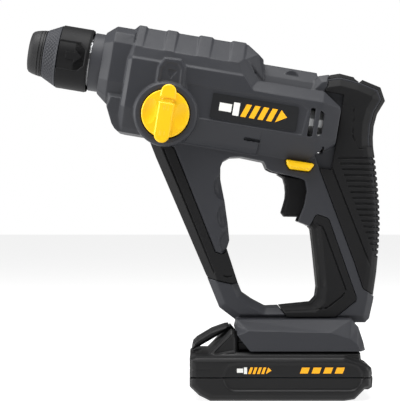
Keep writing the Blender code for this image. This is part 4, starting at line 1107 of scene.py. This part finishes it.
@dataclass
class BatteryPack:
    """The two case halves, their printed marks and the release button."""

    half: float = 38.0
    split: float = 15.0
    grain: float = 0.5

    def tub(self) -> bpy.types.Object:
        """The outer body with its corner steps and rear ridges."""
        outline = [(-10.1, 27.2), (-10.1, 9.2), (-4.1, 3.5), (2.9, 0.0), (88.7, 0.0), (95.1, 1.0),
                   (102.1, 8.0),
                   (105.4, 8.6), (105.4, 20.0), (103.6, 22.6), (99.5, 25.1), (88.7, 28.9), (-6.0, 28.9)]
        body = prism(outline, both([(self.half, 4.0), (36.8, 1.6), (34.0, 0.0)]))
        bumper = prism([(98.0, 5.9), (105.2, 5.9), (107.6, 7.4), (108.0, 13.0), (107.2, 20.0), (104.0, 21.4),
                        (98.0, 21.4)], both([(24.0, 1.6), (22.4, 0.0)]))
        body = joined(body, bumper)
        # A long sunk panel on each side, and steps round the ends
        panel = rounded([(14.0, 24.6), (97.0, 24.6), (101.0, 15.6), (97.0, 6.4), (14.0, 6.4),
                         (10.0, 15.6)], 6.0, 6)
        for side in (-1.0, 1.0):
            floor, face = side * (self.half - 1.0), side * (self.half + 0.1)
            body = cut(body, prism(panel, sorted(((floor, 1.0), (face, 0.0), (side * THROUGH, 0.0)))))
        low, high = self.split - 0.4, self.split + 0.4
        seam = [(-20.0, low), (9.0, low), (9.0, high), (-20.0, high)]
        rings = both([(self.half - 0.7, 4.4), (33.3, 0.7)])
        body = cut(body, cut(plate(seam, -THROUGH, THROUGH), prism(outline, rings)))
        step = [(-20.0, 20.2), (4.0, 20.2), (4.0, 21.0), (-20.0, 21.0)]
        return cut(body, cut(plate(step, -THROUGH, THROUGH), prism(outline, rings)))

    def top(self) -> bpy.types.Object:
        """The ramp up to the foot, the rails and the pocket for the button."""
        ramp = prism([(0.6, 28.0), (16.9, 45.0), (20.6, 40.4), (20.6, 28.0)],
                     both([(33.4, 2.6), (30.4, 0.0)]))
        deck = prism([(4.0, 28.0), (4.0, 30.8), (92.0, 30.8), (99.0, 30.8), (99.6, 24.6)],
                     both([(33.5, 1.4), (32.0, 0.0)]))
        rails = joined(block((21.0, 77.0), (-21.6, 21.6), (30.0, 37.0)),
                       block((21.0, 77.0), (-26.6, 26.6), (36.6, 43.0)))
        shape = joined(ramp, deck, rails)
        side = [(4.6, 29.6), (17.0, 42.2), (18.6, 39.6), (18.6, 31.6), (8.0, 29.6)]
        for low, high in ((-THROUGH, -31.6), (31.6, THROUGH)):
            shape = cut(shape, plate(side, low, high))
        # Channels between the ramp and the cheeks that frame the button
        channel = [(-2.0, 33.0), (10.0, 45.0), (30.0, 60.0), (-20.0, 60.0)]
        for y in (-22.0, 22.0):
            shape = cut(shape, layers([(y - 5.0, channel), (y + 5.0, channel)]))
        return shape

    def case(self) -> bpy.types.Object:
        """The whole case, hollow, before it is split."""
        room = [(-7.3, 25.0), (-7.3, 10.0), (-3.0, 6.0), (3.5, 3.0), (88.0, 3.0), (93.5, 4.0), (100.5, 11.0),
                (103.0, 11.4), (103.0, 19.0), (98.5, 22.6), (88.0, 25.6), (24.0, 25.6), (6.0, 25.0)]
        pocket = [(-13.0, 26.4), (-6.5, 26.4), (-1.0, 29.4), (18.0, 40.6), (26.0, 50.0), (-13.0, 50.0)]
        body = joined(self.tub(), self.top())
        body = cut(body, plate(pocket, -15.6, 15.6), plate(room, -34.6, 34.6),
                   block((24.0, 74.0), (-18.0, 18.0), (24.0, 40.0)))
        for y in (-11.2, 11.2):
            body = cut(body, block((60.0, 80.0), (y - 1.4, y + 1.4), (35.0, 50.0)))
        return body

    def button(self) -> bpy.types.Object:
        """The front latch button with its oval thumb recess."""
        outline = [(-9.0, 30.6), (-8.0, 35.0), (-5.4, 37.6), (4.4, 43.4), (12.9, 46.4), (15.5, 46.6),
                   (14.6, 43.6), (-3.5, 33.2)]
        shape = prism(outline, both([(14.8, 1.6), (13.2, 0.0)]))
        thumb = ellipsoid((-1.6, 0.0, 42.8), (7.6, 11.0, 3.4))
        tilt = Matrix.Rotation(math.radians(-30.4), 4, "Y")
        thumb.data.transform(Matrix.Translation((-1.6, 0, 42.8)) @ tilt
                             @ Matrix.Translation((1.6, 0, -42.8)))
        return cut(shape, thumb)

    def marks(self) -> None:
        """The printed bit and charge bars on both sides of the upper case."""
        sign = Pictogram(PACK_WHITE, PACK_AMBER, 0.5)
        shank, flutes = sign.shapes(20.0, 19.6)
        for i in range(4):
            left = 60.0 + 7.4 * i
            flutes.append([(left, 17.8), (left + 5.0, 17.8), (left + 6.4, 21.6), (left + 1.4, 21.6)])
        for side, name in ((-1.0, "left"), (1.0, "right")):
            low, high = sorted((side * (self.half - 1.08), side * (self.half - 0.88)))
            for kind, shapes, finish in (("shank", shank, sign.shank), ("bars", flutes, sign.flutes)):
                drawn = gathered([plate(outline, low, high) for outline in shapes])
                settle(drawn, f"battery_mark_{name}_{kind}", finish, "battery")

    def build(self) -> None:
        """Makes and settles the pack."""
        body = self.case()
        span = (-FAR, FAR)
        lower = common(copied(body), block(span, (-THROUGH, THROUGH), (-FAR, self.split - 0.15)))
        upper = common(body, block(span, (-THROUGH, THROUGH), (self.split + 0.15, FAR)))
        settle(moulded(lower, self.grain, keep=0.3), "battery_tub", BATTERY_ABS, "battery",
               "battery_case_lower")
        settle(moulded(upper, self.grain, keep=0.25), "battery_top", BATTERY_ABS, "battery",
               "battery_case_upper")
        settle(moulded(self.button(), 0.3, keep=0.3), "release_button_moulded", BATTERY_ABS, "release_button",
               "release_button")
        self.marks()


# ---------------------------------------------------------------- inside pieces and studio


def dress_inside() -> None:
    """Gives every CAD node that is still shown the finish of its slot."""
    slots = {s["node"]: s["material_slot"] for s in frame["record"]["subparts"]}
    for name, node in frame["nodes"].items():
        if node.hide_render:
            continue
        node.data.materials.clear()
        node.data.materials.append(INNER_FINISHES[slots[name]].material())


@dataclass
class Studio:
    """A white sweep, soft lamps and the camera."""

    camera_at: Sequence[float] = (-0.00345, -1.0, 0.123)
    lens: float = 131.12
    floor: str = "#A2A2A2"
    glow: float = 0.8
    lamps: Sequence[tuple[str, tuple[float, float, float], float, float]] = (
        ("key", (-0.15, -0.25, 1.15), 0.9, 20.0),
        ("left", (-1.2, -0.15, 0.45), 0.7, 14.0),
        ("right", (1.2, -0.1, 0.45), 0.7, 8.0),
    )

    def lamp(self, name: str, place: Sequence[float], size: float, power: float) -> None:
        """A square soft lamp that faces the tool."""
        data = bpy.data.lights.new(name, "AREA")
        data.energy = power
        data.size = size
        obj = bpy.data.objects.new(name, data)
        bpy.context.scene.collection.objects.link(obj)
        obj.location = place
        obj.rotation_euler = (Vector((0.0, 0.0, 0.12)) - Vector(place)).to_track_quat("-Z", "Y").to_euler()

    def build(self) -> None:
        """Sets up the floor, world, lamps and camera."""
        scene = bpy.context.scene
        bm = bmesh.new()
        bmesh.ops.create_grid(bm, x_segments=1, y_segments=1, size=6.0)
        mesh = bpy.data.meshes.new("floor")
        bm.to_mesh(mesh)
        bm.free()
        floor = bpy.data.objects.new("floor", mesh)
        scene.collection.objects.link(floor)
        made = bpy.data.materials.new("paper_sweep_matt")
        made.use_nodes = True
        shader = made.node_tree.nodes["Principled BSDF"]
        fibre = add(made.node_tree, "TexNoise", {"Scale": 400.0})
        shades = {"Factor": fibre.outputs[0], "A": linear(self.floor), "B": linear("#A6A6A6")}
        tone = add(made.node_tree, "Mix", shades,
                   data_type="RGBA")
        made.node_tree.links.new(socket(tone), shader.inputs["Base Color"])
        shader.inputs["Roughness"].default_value = 0.9
        # A lit table: it stays pale where the lamps fall off
        shader.inputs["Emission Color"].default_value = (1.0, 1.0, 1.0, 1.0)
        shader.inputs["Emission Strength"].default_value = self.glow
        mesh.materials.append(made)
        world = bpy.data.worlds.new("studio")
        world.use_nodes = True
        scene.world = world
        tree = world.node_tree
        seen = add(tree, "LightPath").outputs["Is Camera Ray"]
        strength = add(tree, "MapRange", {"Value": seen, "To Min": 0.2, "To Max": 1.0})
        tree.links.new(strength.outputs[0], tree.nodes["Background"].inputs["Strength"])
        tree.nodes["Background"].inputs["Color"].default_value = (1.0, 1.0, 1.0, 1.0)
        for lamp in self.lamps:
            self.lamp(*lamp)
        data = bpy.data.cameras.new("camera")
        data.lens = self.lens
        data.sensor_width = 36.0
        data.clip_start = 0.01
        camera = bpy.data.objects.new("camera", data)
        camera.location = self.camera_at
        camera.rotation_euler = (math.radians(90.0), 0.0, 0.0)
        scene.collection.objects.link(camera)
        scene.camera = camera
        scene.view_settings.view_transform = "Standard"


def main() -> None:
    """Builds the tool's sub-assemblies in order, then the studio."""
    logging.basicConfig(level=logging.INFO, format="%(message)s")
    for assembly in (Housing(), Grips(), Chuck(), ModeKnob(), Controls(), Badges(), BatteryPack()):
        LOG.info("building %s", type(assembly).__name__)
        assembly.build()
    dress_inside()
    Studio().build()


if __name__ == "__main__":
    main()
